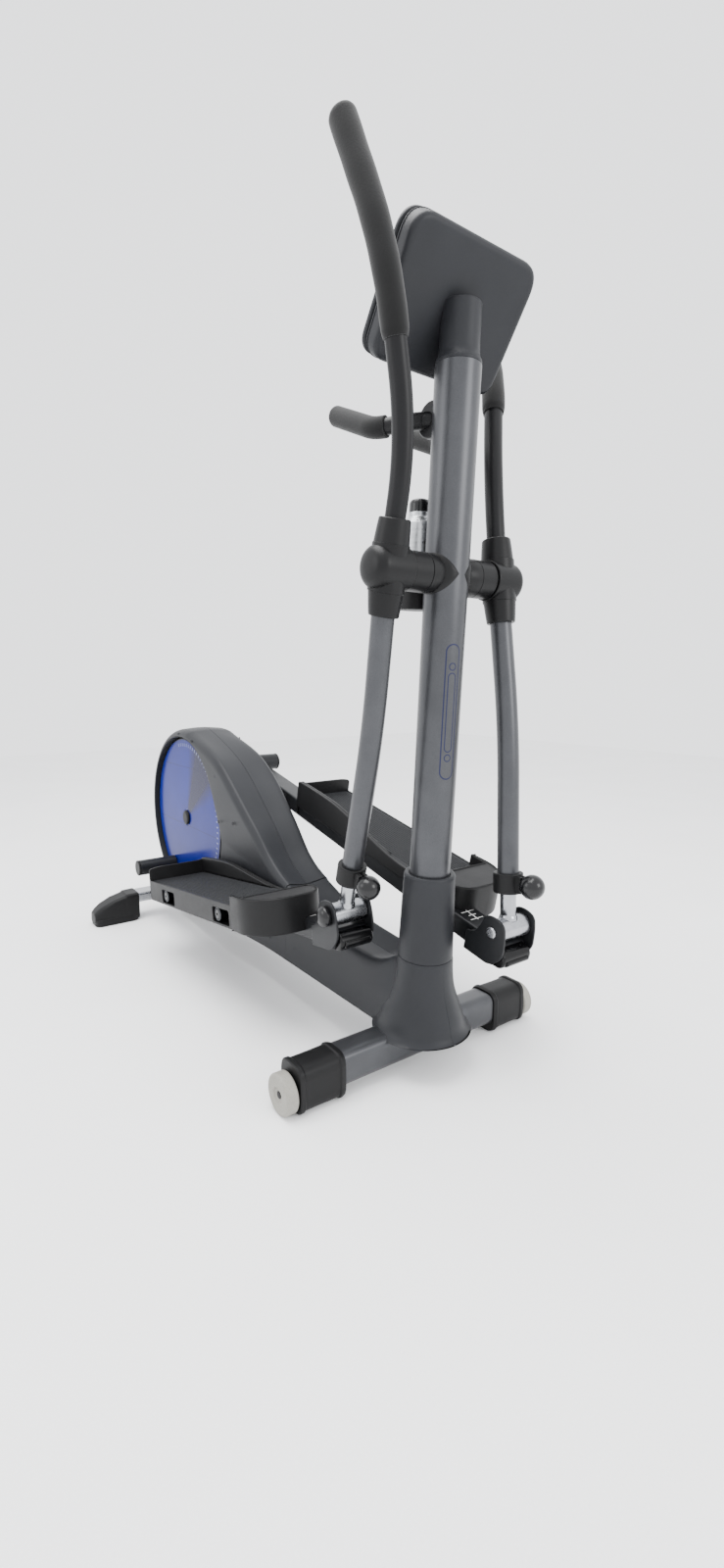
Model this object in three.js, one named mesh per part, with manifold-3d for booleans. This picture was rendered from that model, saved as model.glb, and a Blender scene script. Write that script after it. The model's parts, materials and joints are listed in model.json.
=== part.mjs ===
// Front-drive elliptical trainer, millimetres, +X towards the mast, +Y to the user's left, +Z up.
// Inside the assembly group X is counted from the crank axis, Y from the mid-plane and Z from the floor.
import * as THREE from 'three';
import { mergeVertices } from 'three/addons/utils/BufferGeometryUtils.js';
import Module from 'manifold-3d';

const wasm = await Module();
wasm.setup();

// ---------------------------------------------------------------- driving dimensions
const gap = 0.3;                    // between pieces that touch
const steelWall = 2.5;              // box and round steel tubes
const running = 0.5;                // radial clearance of a turning or sliding fit
const sides = [{ name: 'right', y: -1 }, { name: 'left', y: 1 }];

const crank = {
  height: 332,                      // crank axis above the floor
  radius: 206,                      // throw of the crank pins
  restAngle: THREE.MathUtils.degToRad(-34.4), // right pin from straight down, forward positive
  axleRadius: 15,
  capRadius: 22,
  capLength: 7,
};
const disc = { radius: 246, face: 64, thickness: 8 };
const armWidth = 58;                // across one pedal arm; wider arms move out from the casing
const linkage = {
  mastFootX: 1036.7,                // mast axis where it leaves the base, at mastFootZ
  mastFootZ: 100,
  mastLean: 0.055,                  // forward lean of the mast, in radians
  pivotHeight: 933,
  rocker: 646,                      // handle pivot to clevis pin
  armSpan: 1058,                    // clevis pin to crank pin
  hubY: 130,                        // middle of the handle hubs
  clevisY: 111,                     // middle of the clevises
  crankEndY: 96 + armWidth / 2,                   // middle of the pedal arms at the crank pins
};
const mast = { radius: 38.5, wall: 3, bottom: 232, top: linkage.pivotHeight + 329 };
const post = { radius: mast.radius - mast.wall - gap, top: 400 };
const collar = { bottom: 229, top: 396, bottomRadius: 53, topRadius: 49, lip: 9 };
const pivotAxle = { radius: 12, halfLength: 156 };
const hubCover = { radius: 32, inner: 18, outer: 96 };
const shroud = {
  radius: 34, inner: 97, outer: 140, sleeveTop: 30, sleeveEnd: 24, sleeveLength: 76,
};
const handleTube = {
  radius: 20, bend: 270, bendForward: 15, collarGrip: 88,
  barrelRadius: 22, barrelInner: 100, barrelOuter: 152, stubRadius: 14, stubTop: 74,
};
const upperHandle = {
  radius: 17, bottom: 30, straight: 190, splayY: 95, curveHeight: 420, curveBack: 35,
  topHeight: 590, topBack: 135, gripRadius: 21, gripStart: 0.5, gripEnd: 0.99,
};
const link = { radius: 15, top: 175, barrelRadius: 22, barrelHalf: 38.5 };
const clamp = { radius: 27, height: 38, earReach: 38, earHalfWidth: 11, earHalfHeight: 14 };
const knob = { radius: 23, reach: 57, stemRadius: 4, stemStart: 20.8, flatShare: 0.2 };
const clevis = {
  plateInner: 39.3, plateOuter: 44, plateRadius: 31, pinRadius: 8, capRadius: 20, capLength: 18,
  headRadius: 12, headLength: 5, blockRear: 60, blockFront: 14, blockTop: 26,
};
const arm = {
  width: armWidth, height: 44, frontDrop: 45, rearDrop: 28, rearEnd: 1050, frontEnd: 30,
  bearingRadius: 24, bearingInner: 67, bearingOuter: 184,
  bolts: [640, 320], boltDrop: 26, bracketLength: 30, bracketHeight: 18,
  boltRadius: 8, boltHeadRadius: 16,
};
const crankPin = { radius: 12, inner: 66.5, headRadius: 23, headLength: 4 };
const footplate = {
  rear: 749, toeStart: 195, toeFront: 106, inner: arm.width / 2 + 7, outer: 131, bulge: 9,
  top: 4, plate: 10, skirt: 48, wall: 5, rearRim: 36, innerRim: 46, rimWidth: 14,
  rimTaperEnd: 330, toeTop: 28, toeSkirtInner: 50, slotTravel: 50,
};
const rail = { halfWidth: 30, bottom: 86.3, top: 130, rear: -158, front: 1080 };
const upright = { thickness: 6, housing: 44 };
const bearing = { radius: 26, halfWidth: 5 };
const pulley = { radius: 150, rim: 10, web: 5, hub: 30, yLow: -25, yHigh: -11 };
const flywheel = {
  x: 320, z: 262, radius: 121, rim: 26, web: 12, hub: 24, pulleyRadius: 25, yLow: -6, yHigh: 26,
  axleRadius: 10, axleHeadRadius: 16, axleHeadLength: 6,
};
const belt = { thickness: 3, margin: 2 };
const brake = { clearance: 3, thickness: 12, startDeg: 8, endDeg: 88, eyeRadius: 9, eyeBore: 4.3 };
const servo = { x: 470, length: 60, width: 44, height: 42 };
const casing = {
  half: 78, frontHalf: 64, taperStart: 300, taperEnd: 560, crown: 22, crownDepth: 26, rim: 6, wall: 3,
  bottom: 78, opening: 250, openingDepth: 22, seamX: 608, leaveAngle: 80, clearance: 2,
};
// Top edge of the casings from the crank circle down to the mast boot, as [X, Z] of the side faces.
const slope = [[250, 511], [421, 378], [517, 290], [608, 243], [760, 195], [940, 178]];
const boot = {
  top: 228.7, radius: 54, wall: 3,
  flare: [[54, 200], [57, 170], [66, 140], [78, 108], [92, 78]],
};
const frontStabilizer = { x: 1017, length: 232, depth: 64, bottom: 20, top: 86, corner: 22 };
const frontCap = { outer: 288, wheelInner: 291, wheelOuter: 315, wheelRadius: 37.5, axleRadius: 6 };
const rearStabilizer = { x: -127, length: 176, depth: 64, bottom: 56, top: 86, corner: 8 };
const rearCap = { outer: 331, grow: 4 };
const bar = {
  height: mast.top - 77, radius: 14, standoff: 58, innerY: 46, reachY: 78, back: 240, bendBack: 120,
    rise: 56, clampHalf: 22,
  gripRadius: 18, gripLength: 150,
};
const consoleBox = {
  width: 270, height: 200, depth: 46, corner: 34, tilt: 0.62, rise: 92, back: 26,
  screenWidth: 170, screenHeight: 92, screenDepth: 5, keyWidth: 34, keyHeight: 18, keySpacing: 74,
  keyStand: 3, keyTravel: 1.5, neckRadius: 33,
};
const bottle = { radius: 32, neckRadius: 20, height: 190, shoulder: 150, capRadius: 16,
  base: linkage.pivotHeight - 53 };
const cage = { wall: 3, cupHeight: 34, ringZ: 70, ringHeight: 14, stripWidth: 26 };

// ---------------------------------------------------------------- finishes
const finish = (color, roughness, metalness) =>
  new THREE.MeshStandardMaterial({ color, roughness, metalness });
const paint = { mast: 0x7d7e83, casing: 0x55565b, black: 0x1b1b1d, steel: 0xb9bbc0, blue: 0x3c4fa8 };
const colours = {
  greyPaint: () => finish(paint.mast, 0.38, 0.55),
  casingPlastic: () => finish(paint.casing, 0.55, 0),
  blackPlastic: () => finish(paint.black, 0.5, 0),
  steel: () => finish(paint.steel, 0.25, 1),
  bluePlate: () => finish(paint.blue, 0.2, 0.2),
  rubber: () => finish(paint.black, 0.9, 0),
  wheelGrey: () => finish(0xa8a69e, 0.7, 0),
  screen: () => finish(0x2b3a35, 0.15, 0),
};

// ---------------------------------------------------------------- solid helpers
function solid(geometry) {
  const bare = geometry.clone();
  bare.deleteAttribute('normal');
  bare.deleteAttribute('uv');
  const merged = mergeVertices(bare, 1e-4);
  return new wasm.Manifold(new wasm.Mesh({
    numProp: 3,
    vertProperties: new Float32Array(merged.attributes.position.array),
    triVerts: new Uint32Array(merged.index.array),
  }));
}

function geometryOf(manifold) {
  const mesh = manifold.getMesh();
  const geometry = new THREE.BufferGeometry();
  geometry.setAttribute('position', new THREE.BufferAttribute(mesh.vertProperties, 3));
  geometry.setIndex(new THREE.BufferAttribute(mesh.triVerts, 1));
  return geometry;
}

const join = (first, ...others) =>
  geometryOf(others.reduce((sum, next) => sum.add(solid(next)), solid(first)));
const cut = (first, ...others) =>
  geometryOf(others.reduce((sum, next) => sum.subtract(solid(next)), solid(first)));
const overlap = (first, other) => geometryOf(solid(first).intersect(solid(other)));

// Turns a surface right side out when its profile ran the other way round.
function outward(geometry) {
  const position = geometry.attributes.position;
  const index = geometry.index.array;
  const [a, b, c] = [vector(0, 0, 0), vector(0, 0, 0), vector(0, 0, 0)];
  let volume = 0;
  for (let i = 0; i < index.length; i += 3) {
    a.fromBufferAttribute(position, index[i]);
    b.fromBufferAttribute(position, index[i + 1]);
    c.fromBufferAttribute(position, index[i + 2]);
    volume += a.dot(b.cross(c));
  }
  if (volume < 0) {
    for (let i = 0; i < index.length; i += 3) {
      [index[i], index[i + 1]] = [index[i + 1], index[i]];
    }
  }
  return geometry;
}

// Round pieces are many-sided: a hole is drawn larger so that its flats clear the stated radius.
const clearOf = (radius, segments = 16) => radius / Math.cos(Math.PI / segments);

// A round bar between two points.
function rodBetween(from, to, radius, segments = 16) {
  const rod = new THREE.CylinderGeometry(radius, radius, from.distanceTo(to), segments);
  const turn = new THREE.Quaternion().setFromUnitVectors(vector(0, 1, 0), to.clone().sub(from).normalize());
  const middle = from.clone().lerp(to, 0.5);
  return rod.applyQuaternion(turn).translate(middle.x, middle.y, middle.z);
}

// A box between two corners, in any order.
function block(x0, x1, y0, y1, z0, z1) {
  const box = new THREE.BoxGeometry(Math.abs(x1 - x0), Math.abs(y1 - y0), Math.abs(z1 - z0));
  return box.translate((x0 + x1) / 2, (y0 + y1) / 2, (z0 + z1) / 2);
}

// A round bar along Y between two values of Y.
function rodY(radius, y0, y1, segments = 16) {
  return new THREE.CylinderGeometry(radius, radius, Math.abs(y1 - y0), segments)
    .translate(0, (y0 + y1) / 2, 0);
}

// A round bar or cone along Z, its low end first.
function rodZ(lowRadius, highRadius, z0, z1, segments = 16) {
  const cone = new THREE.CylinderGeometry(highRadius, lowRadius, z1 - z0, segments);
  return cone.rotateX(Math.PI / 2).translate(0, 0, (z0 + z1) / 2);
}

// An outline drawn in X and Z, made solid between two values of Y.
function plateY(shape, y0, y1, options = {}) {
  const depth = Math.abs(y1 - y0);
  const settings = { depth, bevelEnabled: false, curveSegments: 10, ...options };
  return new THREE.ExtrudeGeometry(shape, settings).rotateX(Math.PI / 2).translate(0, Math.max(y0, y1), 0);
}

// An outline drawn in X and Y, made solid between two values of Z.
function plateZ(shape, z0, z1, options = {}) {
  const settings = { depth: z1 - z0, bevelEnabled: false, curveSegments: 10, ...options };
  return new THREE.ExtrudeGeometry(shape, settings).translate(0, 0, z0);
}

// A profile of [radius, along] pairs turned about the Y axis.
function turnedY(profile, segments = 16) {
  return outward(new THREE.LatheGeometry(profile.map(([r, y]) => new THREE.Vector2(r, y)), segments));
}

// A profile of [radius, along] pairs turned about the Z axis.
function turnedZ(profile, segments = 16) {
  return turnedY(profile, segments).rotateX(Math.PI / 2);
}

// A closed ring turned about Y: bore, outer radius and its two ends.
function ringY(bore, radius, y0, y1, segments = 16) {
  return turnedY([[bore, y0], [radius, y0], [radius, y1], [bore, y1], [bore, y0]], segments);
}

function ringZ(bore, radius, z0, z1, segments = 16) {
  return turnedZ([[bore, z0], [radius, z0], [radius, z1], [bore, z1], [bore, z0]], segments);
}

// A round tube along a smooth curve; a bore makes it hollow from end to end.
function tubeAlong(points, radius, steps, bore = 0, segments = 8) {
  const section = new THREE.Shape().absarc(0, 0, radius, 0, Math.PI * 2);
  if (bore > 0) {
    section.holes.push(new THREE.Path().absarc(0, 0, bore, 0, Math.PI * 2));
  }
  const path = points instanceof THREE.Curve ? points
    : new THREE.CatmullRomCurve3(points, false, 'centripetal');
  return new THREE.ExtrudeGeometry(section,
    { steps, extrudePath: path, curveSegments: segments, bevelEnabled: false });
}

function roundedRect(width, height, radius) {
  const [w, h] = [width / 2, height / 2];
  const shape = new THREE.Shape();
  shape.absarc(w - radius, h - radius, radius, 0, Math.PI / 2);
  shape.absarc(radius - w, h - radius, radius, Math.PI / 2, Math.PI);
  shape.absarc(radius - w, radius - h, radius, Math.PI, Math.PI * 1.5);
  shape.absarc(w - radius, radius - h, radius, Math.PI * 1.5, Math.PI * 2);
  return shape;
}

// Slants a piece sideways: each millimetre of X moves it by the slope in Y.
function sheared(geometry, slope) {
  return geometry.applyMatrix4(new THREE.Matrix4().set(1, 0, 0, 0, slope, 1, 0, 0, 0, 0, 1, 0, 0, 0, 0, 1));
}

const vector = (x, y, z) => new THREE.Vector3(x, y, z);

function named(name, geometry, material, parent) {
  const mesh = new THREE.Mesh(geometry, material);
  mesh.name = name;
  parent.add(mesh);
  return mesh;
}

// A named group whose own origin is a joint of the machine.
function jointGroup(name, parent, x, y, z, turnY = 0) {
  const group = new THREE.Group();
  group.name = name;
  group.position.set(x, y, z);
  group.rotation.y = turnY;
  parent.add(group);
  return group;
}

// ---------------------------------------------------------------- the linkage at rest
const mastX = (z) => linkage.mastFootX + (z - linkage.mastFootZ) * Math.tan(linkage.mastLean);
const pivot = new THREE.Vector2(mastX(linkage.pivotHeight), linkage.pivotHeight);

// Crank pin of one side: the two cranks are half a turn apart.
function crankPinAt(side) {
  const angle = crank.restAngle + (side.y > 0 ? Math.PI : 0);
  return new THREE.Vector2(crank.radius * Math.sin(angle), crank.height - crank.radius * Math.cos(angle));
}

// The clevis pin is one rocker from the pivot and one arm span from the crank pin.
function clevisAt(side) {
  const pin = crankPinAt(side);
  const across = pivot.clone().sub(pin);
  const distance = across.length();
  const along = (linkage.armSpan ** 2 - linkage.rocker ** 2 + distance ** 2) / (2 * distance);
  const off = Math.sqrt(linkage.armSpan ** 2 - along ** 2);
  across.normalize();
  return new THREE.Vector2(pin.x + across.x * along + across.y * off,
    pin.y + across.y * along - across.x * off);
}

const trainer = new THREE.Group();
trainer.name = 'elliptical_trainer';
const assembly = new THREE.Group();
trainer.add(assembly);

// A group standing on the mast's axis, leaning with it; its Z is counted along the mast from the floor level.
const mastGroup = jointGroup('mast_axis', assembly, mastX(0), 0, 0, linkage.mastLean);
const alongMast = (z) => z / Math.cos(linkage.mastLean);
// The same lean for a piece that is modelled in the assembly's frame.
const leaned = (geometry) => geometry.rotateY(linkage.mastLean).translate(mastX(0), 0, 0);

// ---------------------------------------------------------------- base frame and stabilizers
// Two upright plates carry the crank bearings and the flywheel axle.
function uprightOutline() {
  const shape = new THREE.Shape();
  shape.moveTo(-60, rail.bottom + 10);
  shape.lineTo(flywheel.x + 80, rail.bottom + 10);
  shape.lineTo(flywheel.x + 26, flywheel.z + 20);
  shape.lineTo(flywheel.x - 26, flywheel.z + 20);
  shape.lineTo(150, rail.top + 20);
  shape.lineTo(upright.housing, crank.height);
  shape.absarc(0, crank.height, upright.housing, 0, Math.PI);
  shape.closePath();
  shape.holes.push(new THREE.Path().absarc(0, crank.height, clearOf(bearing.radius + gap), 0, Math.PI * 2));
  shape.holes.push(new THREE.Path().absarc(flywheel.x, flywheel.z, clearOf(flywheel.axleRadius + gap), 0,
    Math.PI * 2));
  return shape;
}

const spine = cut(
  block(rail.rear, rail.front, -rail.halfWidth, rail.halfWidth, rail.bottom, rail.top),
  block(
    rail.rear - 1, rail.front - steelWall, steelWall - rail.halfWidth, rail.halfWidth - steelWall,
    rail.bottom + steelWall, rail.top - steelWall,
  ),
);
const cheeks = sides.map((side) => plateY(
  uprightOutline(), side.y * (rail.halfWidth - 1), side.y * (rail.halfWidth + upright.thickness),
    { curveSegments: 8 },
));
const mastPost = leaned(ringZ(post.radius - steelWall, post.radius, rail.bottom + 8, post.top));
named('base_frame', join(spine, ...cheeks, mastPost), colours.greyPaint(), assembly);

// Each stabilizer is a length of rounded box tube, open at its ends.
function stabilizerTube({ depth, top, bottom, corner, length }) {
  const height = top - bottom;
  const shape = roundedRect(depth, height, corner);
  const hollow = roundedRect(depth - 2 * steelWall, height - 2 * steelWall, corner - steelWall);
  shape.holes.push(new THREE.Path(hollow.getPoints(3)));
  return plateY(shape, -length, length, { curveSegments: 3 });
}

const frontMid = (frontStabilizer.top + frontStabilizer.bottom) / 2;
named('front_stabilizer', stabilizerTube(frontStabilizer), colours.greyPaint(), assembly)
  .position.set(frontStabilizer.x, 0, frontMid);

const rearMid = (rearStabilizer.top + rearStabilizer.bottom) / 2;
named('rear_stabilizer', stabilizerTube(rearStabilizer), colours.steel(), assembly)
  .position.set(rearStabilizer.x, 0, rearMid);

// Moulded feet close the rear stabilizer and stand on the floor.
function rearCapGeometry(side) {
  const inner = rearStabilizer.length - 20;
  const halfDepth = rearStabilizer.depth / 2 + rearCap.grow;
  const top = rearStabilizer.top + rearCap.grow;
  const body = block(-halfDepth, halfDepth, side.y * inner, side.y * rearCap.outer, 0, top);
  const socket = block(
    -rearStabilizer.depth / 2 - gap, rearStabilizer.depth / 2 + gap,
    side.y * (inner - 1), side.y * (rearStabilizer.length + gap),
    rearStabilizer.bottom - gap, rearStabilizer.top + gap,
  );
  return cut(body, socket);
}

// Wheel housings close the front stabilizer; each holds a transport wheel on its outer end.
function frontCapGeometry(side) {
  const section = roundedRect(frontStabilizer.depth + 6, frontStabilizer.top + 4, frontStabilizer.corner);
  const inner = frontStabilizer.length - 40;
  const shell = plateY(section, side.y * inner, side.y * frontCap.outer, { curveSegments: 3 });
  shell.translate(0, 0, (frontStabilizer.top + 4) / 2);
  const hollow = roundedRect(
    frontStabilizer.depth + 2 * gap, frontStabilizer.top - frontStabilizer.bottom + 2 * gap,
      frontStabilizer.corner,
  );
  const socket = plateY(hollow, side.y * (inner - 1), side.y * (frontStabilizer.length + gap),
    { curveSegments: 3 });
  socket.translate(0, 0, frontMid);
  const axle = rodY(frontCap.axleRadius, side.y * (frontCap.outer - 10),
    side.y * (frontCap.wheelOuter - 2));
  axle.translate(0, 0, frontCap.wheelRadius);
  return join(cut(shell, socket), axle);
}

for (const side of sides) {
  named(`rear_end_cap_${side.name}`, rearCapGeometry(side), colours.blackPlastic(), assembly)
    .position.x = rearStabilizer.x;
  named(`front_end_cap_${side.name}`, frontCapGeometry(side), colours.blackPlastic(), assembly)
    .position.x = frontStabilizer.x;
  const axis = jointGroup(`wheel_axis_${side.name}`, assembly, frontStabilizer.x, 0, frontCap.wheelRadius);
  const bore = clearOf(frontCap.axleRadius + running);
  const wheel = turnedY([
    [bore, side.y * frontCap.wheelInner], [frontCap.wheelRadius - 3, side.y * frontCap.wheelInner],
    [frontCap.wheelRadius, side.y * (frontCap.wheelInner + 5)],
      [frontCap.wheelRadius, side.y * (frontCap.wheelOuter - 5)],
    [frontCap.wheelRadius - 3, side.y * frontCap.wheelOuter], [bore, side.y * frontCap.wheelOuter],
    [bore, side.y * frontCap.wheelInner],
  ]);
  named(`transport_wheel_${side.name}`, wheel, colours.wheelGrey(), axis);
}

// ---------------------------------------------------------------- drive inside the rear casing
const crankAxis = jointGroup('crank_axis', assembly, 0, 0, crank.height);
const axleEnd = disc.face + gap;
named('crank_axle', turnedY([
  [0, -axleEnd - crank.capLength], [crank.capRadius - 3, -axleEnd - crank.capLength],
  [crank.capRadius, -axleEnd - 3], [crank.capRadius, -axleEnd], [crank.axleRadius, -axleEnd],
  [crank.axleRadius, axleEnd], [crank.capRadius, axleEnd], [crank.capRadius, axleEnd + 3],
  [crank.capRadius - 3, axleEnd + crank.capLength], [0, axleEnd + crank.capLength],
]), colours.steel(), crankAxis);

for (const side of sides) {
  named(`crank_disc_${side.name}`,
    ringY(clearOf(crank.axleRadius + gap, 36), disc.radius, side.y * (disc.face - disc.thickness),
      side.y * disc.face, 36),
    colours.bluePlate(), crankAxis);
  const middle = side.y * (rail.halfWidth + upright.thickness / 2);
  named(`crank_bearing_${side.name}`,
    ringY(clearOf(crank.axleRadius + running), bearing.radius, middle - bearing.halfWidth,
      middle + bearing.halfWidth),
    colours.steel(), assembly).position.z = crank.height;
}

const pulleyBore = clearOf(crank.axleRadius + gap, 28);
const pulleyMid = (pulley.yLow + pulley.yHigh) / 2;
named('drive_pulley', turnedY([
  [pulleyBore, pulley.yLow], [pulley.hub, pulley.yLow], [pulley.hub, pulleyMid - pulley.web / 2],
  [pulley.radius - pulley.rim, pulleyMid - pulley.web / 2], [pulley.radius - pulley.rim, pulley.yLow],
  [pulley.radius, pulley.yLow], [pulley.radius, pulley.yHigh], [pulleyBore, pulley.yHigh],
  [pulleyBore, pulley.yLow],
], 28), colours.blackPlastic(), crankAxis);

const flywheelAxis = jointGroup('flywheel_axis', assembly, flywheel.x, 0, flywheel.z);
const flywheelBore = clearOf(flywheel.axleRadius + running, 20);
const wheelMid = (flywheel.yLow + flywheel.yHigh) / 2;
named('flywheel', turnedY([
  [flywheelBore, pulley.yLow], [flywheel.pulleyRadius, pulley.yLow],
    [flywheel.pulleyRadius, wheelMid - flywheel.web / 2],
  [flywheel.radius - flywheel.rim, wheelMid - flywheel.web / 2],
    [flywheel.radius - flywheel.rim, flywheel.yLow],
  [flywheel.radius, flywheel.yLow], [flywheel.radius, flywheel.yHigh],
  [flywheel.radius - flywheel.rim, flywheel.yHigh],
    [flywheel.radius - flywheel.rim, wheelMid + flywheel.web / 2],
  [flywheel.hub, wheelMid + flywheel.web / 2], [flywheel.hub, flywheel.yHigh],
    [flywheelBore, flywheel.yHigh],
  [flywheelBore, pulley.yLow],
], 20), colours.steel(), flywheelAxis);

const cheekOuter = rail.halfWidth + upright.thickness + gap;
named('flywheel_axle', turnedY([
  [0, -cheekOuter - flywheel.axleHeadLength],
    [flywheel.axleHeadRadius, -cheekOuter - flywheel.axleHeadLength],
  [flywheel.axleHeadRadius, -cheekOuter], [flywheel.axleRadius, -cheekOuter],
    [flywheel.axleRadius, cheekOuter],
  [flywheel.axleHeadRadius, cheekOuter], [flywheel.axleHeadRadius, cheekOuter + flywheel.axleHeadLength],
  [0, cheekOuter + flywheel.axleHeadLength],
]), colours.steel(), assembly).position.set(flywheel.x, 0, flywheel.z);

// The belt follows the two pulleys and their outer tangents, at a distance off their rims.
function beltOutline(off, PathType) {
  const spread = new THREE.Vector2(flywheel.x, flywheel.z - crank.height);
  const heading = Math.atan2(spread.y, spread.x);
  const wrap = Math.acos((pulley.radius - flywheel.pulleyRadius) / spread.length());
  const path = new PathType();
  path.absarc(0, crank.height, clearOf(pulley.radius + off, 28), heading + wrap,
    heading - wrap + Math.PI * 2);
  path.absarc(flywheel.x, flywheel.z, clearOf(flywheel.pulleyRadius + off, 28), heading - wrap,
    heading + wrap);
  path.closePath();
  return path;
}
const beltShape = beltOutline(gap + belt.thickness, THREE.Shape);
beltShape.holes.push(beltOutline(gap, THREE.Path));
named('drive_belt', plateY(beltShape, pulley.yLow + belt.margin, pulley.yHigh - belt.margin,
  { curveSegments: 10 }),
  colours.rubber(), assembly);

// The magnet shoe curves round the flywheel's rim and swings on an eye at its low end.
const brakeStart = THREE.MathUtils.degToRad(brake.startDeg);
const brakeEnd = THREE.MathUtils.degToRad(brake.endDeg);
const shoeInner = flywheel.radius + brake.clearance;
const shoeOuter = shoeInner + brake.thickness;
const shoeMid = (shoeInner + shoeOuter) / 2;
const shoe = new THREE.Shape();
shoe.absarc(0, 0, shoeOuter, brakeStart, brakeEnd);
shoe.absarc(0, 0, shoeInner, brakeEnd, brakeStart, true);
shoe.closePath();
const eyeX = (shoeMid + brake.eyeRadius / 2) * Math.cos(brakeStart);
const eyeZ = (shoeMid + brake.eyeRadius / 2) * Math.sin(brakeStart);
const brakeAxis = jointGroup('brake_axis', assembly, flywheel.x + eyeX, 0, flywheel.z + eyeZ);
const shoePlate = plateY(shoe, flywheel.yLow - 2, flywheel.yHigh + 2, { curveSegments: 8 })
  .translate(-eyeX, 0, -eyeZ);
const eye = rodY(brake.eyeRadius, flywheel.yLow - 2, flywheel.yHigh + 2, 12);
const eyeHole = rodY(brake.eyeBore, flywheel.yLow - 4, flywheel.yHigh + 4, 12);
named('magnet_brake', cut(join(shoePlate, eye), eyeHole), colours.steel(), brakeAxis);

named('brake_servo', block(
  servo.x, servo.x + servo.length, -servo.width / 2, servo.width / 2, rail.top + gap,
    rail.top + gap + servo.height,
), colours.blackPlastic(), assembly);

// ---------------------------------------------------------------- casings
// Side outline of the casings' faces: round about the cranks, then one long slope down to the mast.
function casingOutline(inset) {
  const radius = casing.opening + casing.rim - inset;
  const low = casing.bottom + casing.rim;
  const reach = Math.sqrt(radius ** 2 - (crank.height - low) ** 2);
  const lowAngle = Math.atan2(low - crank.height, -reach);
  const shape = new THREE.Shape();
  shape.absarc(0, crank.height, radius, lowAngle, THREE.MathUtils.degToRad(casing.leaveAngle), true);
  const leave = shape.getPoint(1);
  const edge = new THREE.SplineCurve([leave, ...slope.map(([x, z]) => new THREE.Vector2(x, z - inset))]);
  edge.getPoints(16).slice(1).forEach((point) => shape.lineTo(point.x, point.y));
  shape.lineTo(mastX(0), slope.at(-1)[1] - inset);
  shape.lineTo(mastX(0), low);
  shape.closePath();
  return shape;
}

// Plan outline of the casings: full width beside the cranks, drawn in towards the mast.
function casingPlan(inset) {
  const rear = -casing.opening - casing.rim - casing.crown - 1;
  const [wide, narrow] = [casing.half - inset, casing.frontHalf - inset];
  const middle = (casing.taperStart + casing.taperEnd) / 2;
  const shape = new THREE.Shape();
  shape.moveTo(rear, -wide);
  shape.lineTo(casing.taperStart, -wide);
  shape.bezierCurveTo(middle, -wide, middle, -narrow, casing.taperEnd, -narrow);
  shape.lineTo(mastX(0), -narrow);
  shape.lineTo(mastX(0), narrow);
  shape.lineTo(casing.taperEnd, narrow);
  shape.bezierCurveTo(middle, narrow, middle, wide, casing.taperStart, wide);
  shape.lineTo(rear, wide);
  shape.closePath();
  return shape;
}

// The casings' body with crowned edges, and the flared boot about the mast foot.
function casingBody(inset, low) {
  const half = casing.half - inset;
  const slab = plateY(casingOutline(inset), casing.crownDepth - half, half - casing.crownDepth, {
    curveSegments: 6, bevelEnabled: true, bevelThickness: casing.crownDepth, bevelSize: casing.crown,
      bevelSegments: 2,
  });
  const top = crank.height + casing.opening + casing.rim + casing.crown + 1;
  const body = overlap(slab, plateZ(casingPlan(inset), low, top, { curveSegments: 3 }));
  const flare = boot.flare.map(([r, z]) => [r - inset, alongMast(z)]);
  const foot = leaned(turnedZ([
    [0, alongMast(low) - 10], [boot.flare.at(-1)[0] - inset, alongMast(low) - 10], ...flare.reverse(),
    [boot.radius - inset, alongMast(boot.top) + (inset > 0 ? 1 : 0)],
      [0, alongMast(boot.top) + (inset > 0 ? 1 : 0)],
  ], 24));
  const floorCut = block(-400, 1400, -casing.half * 2, casing.half * 2, low - 100, low);
  return cut(join(body, foot), floorCut);
}

const hollowed = cut(casingBody(0, casing.bottom), casingBody(casing.wall, casing.bottom - 10));
const opening = rodY(casing.opening, -casing.half - 1, casing.half + 1, 36).translate(0, 0, crank.height);
const lips = sides.map((side) => ringY(
  casing.opening, casing.opening + casing.wall,
  side.y * (casing.half - casing.openingDepth), side.y * (casing.half - casing.wall / 2), 36,
).translate(0, 0, crank.height));
const railSlot = block(
  rail.rear - casing.clearance, 0, -rail.halfWidth - casing.clearance, rail.halfWidth + casing.clearance,
  rail.bottom - casing.clearance, rail.top + casing.clearance,
);
const frontSlot = block(
  frontStabilizer.x - frontStabilizer.depth / 2 - casing.clearance,
  frontStabilizer.x + frontStabilizer.depth / 2 + casing.clearance,
  -frontStabilizer.length, frontStabilizer.length, 0, frontStabilizer.top + casing.clearance,
);
const rearSlot = block(
  rearStabilizer.x - rearStabilizer.depth / 2 - casing.clearance,
  rearStabilizer.x + rearStabilizer.depth / 2 + casing.clearance,
  -rearStabilizer.length, rearStabilizer.length, 0, rearStabilizer.top + casing.clearance,
);
const shell = cut(join(cut(hollowed, opening), ...lips), railSlot, frontSlot, rearSlot);
const seam = gap / 2;
for (const side of sides) {
  const rearPart = block(-400, casing.seamX - seam, side.y * seam, side.y * 200, 0, 800);
  const frontPart = block(casing.seamX + seam, 1300, side.y * seam, side.y * 200, 0, 800);
  named(`rear_casing_${side.name}`, overlap(shell, rearPart), colours.casingPlastic(), assembly);
  named(`front_casing_${side.name}`, overlap(shell, frontPart), colours.casingPlastic(), assembly);
}

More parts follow.
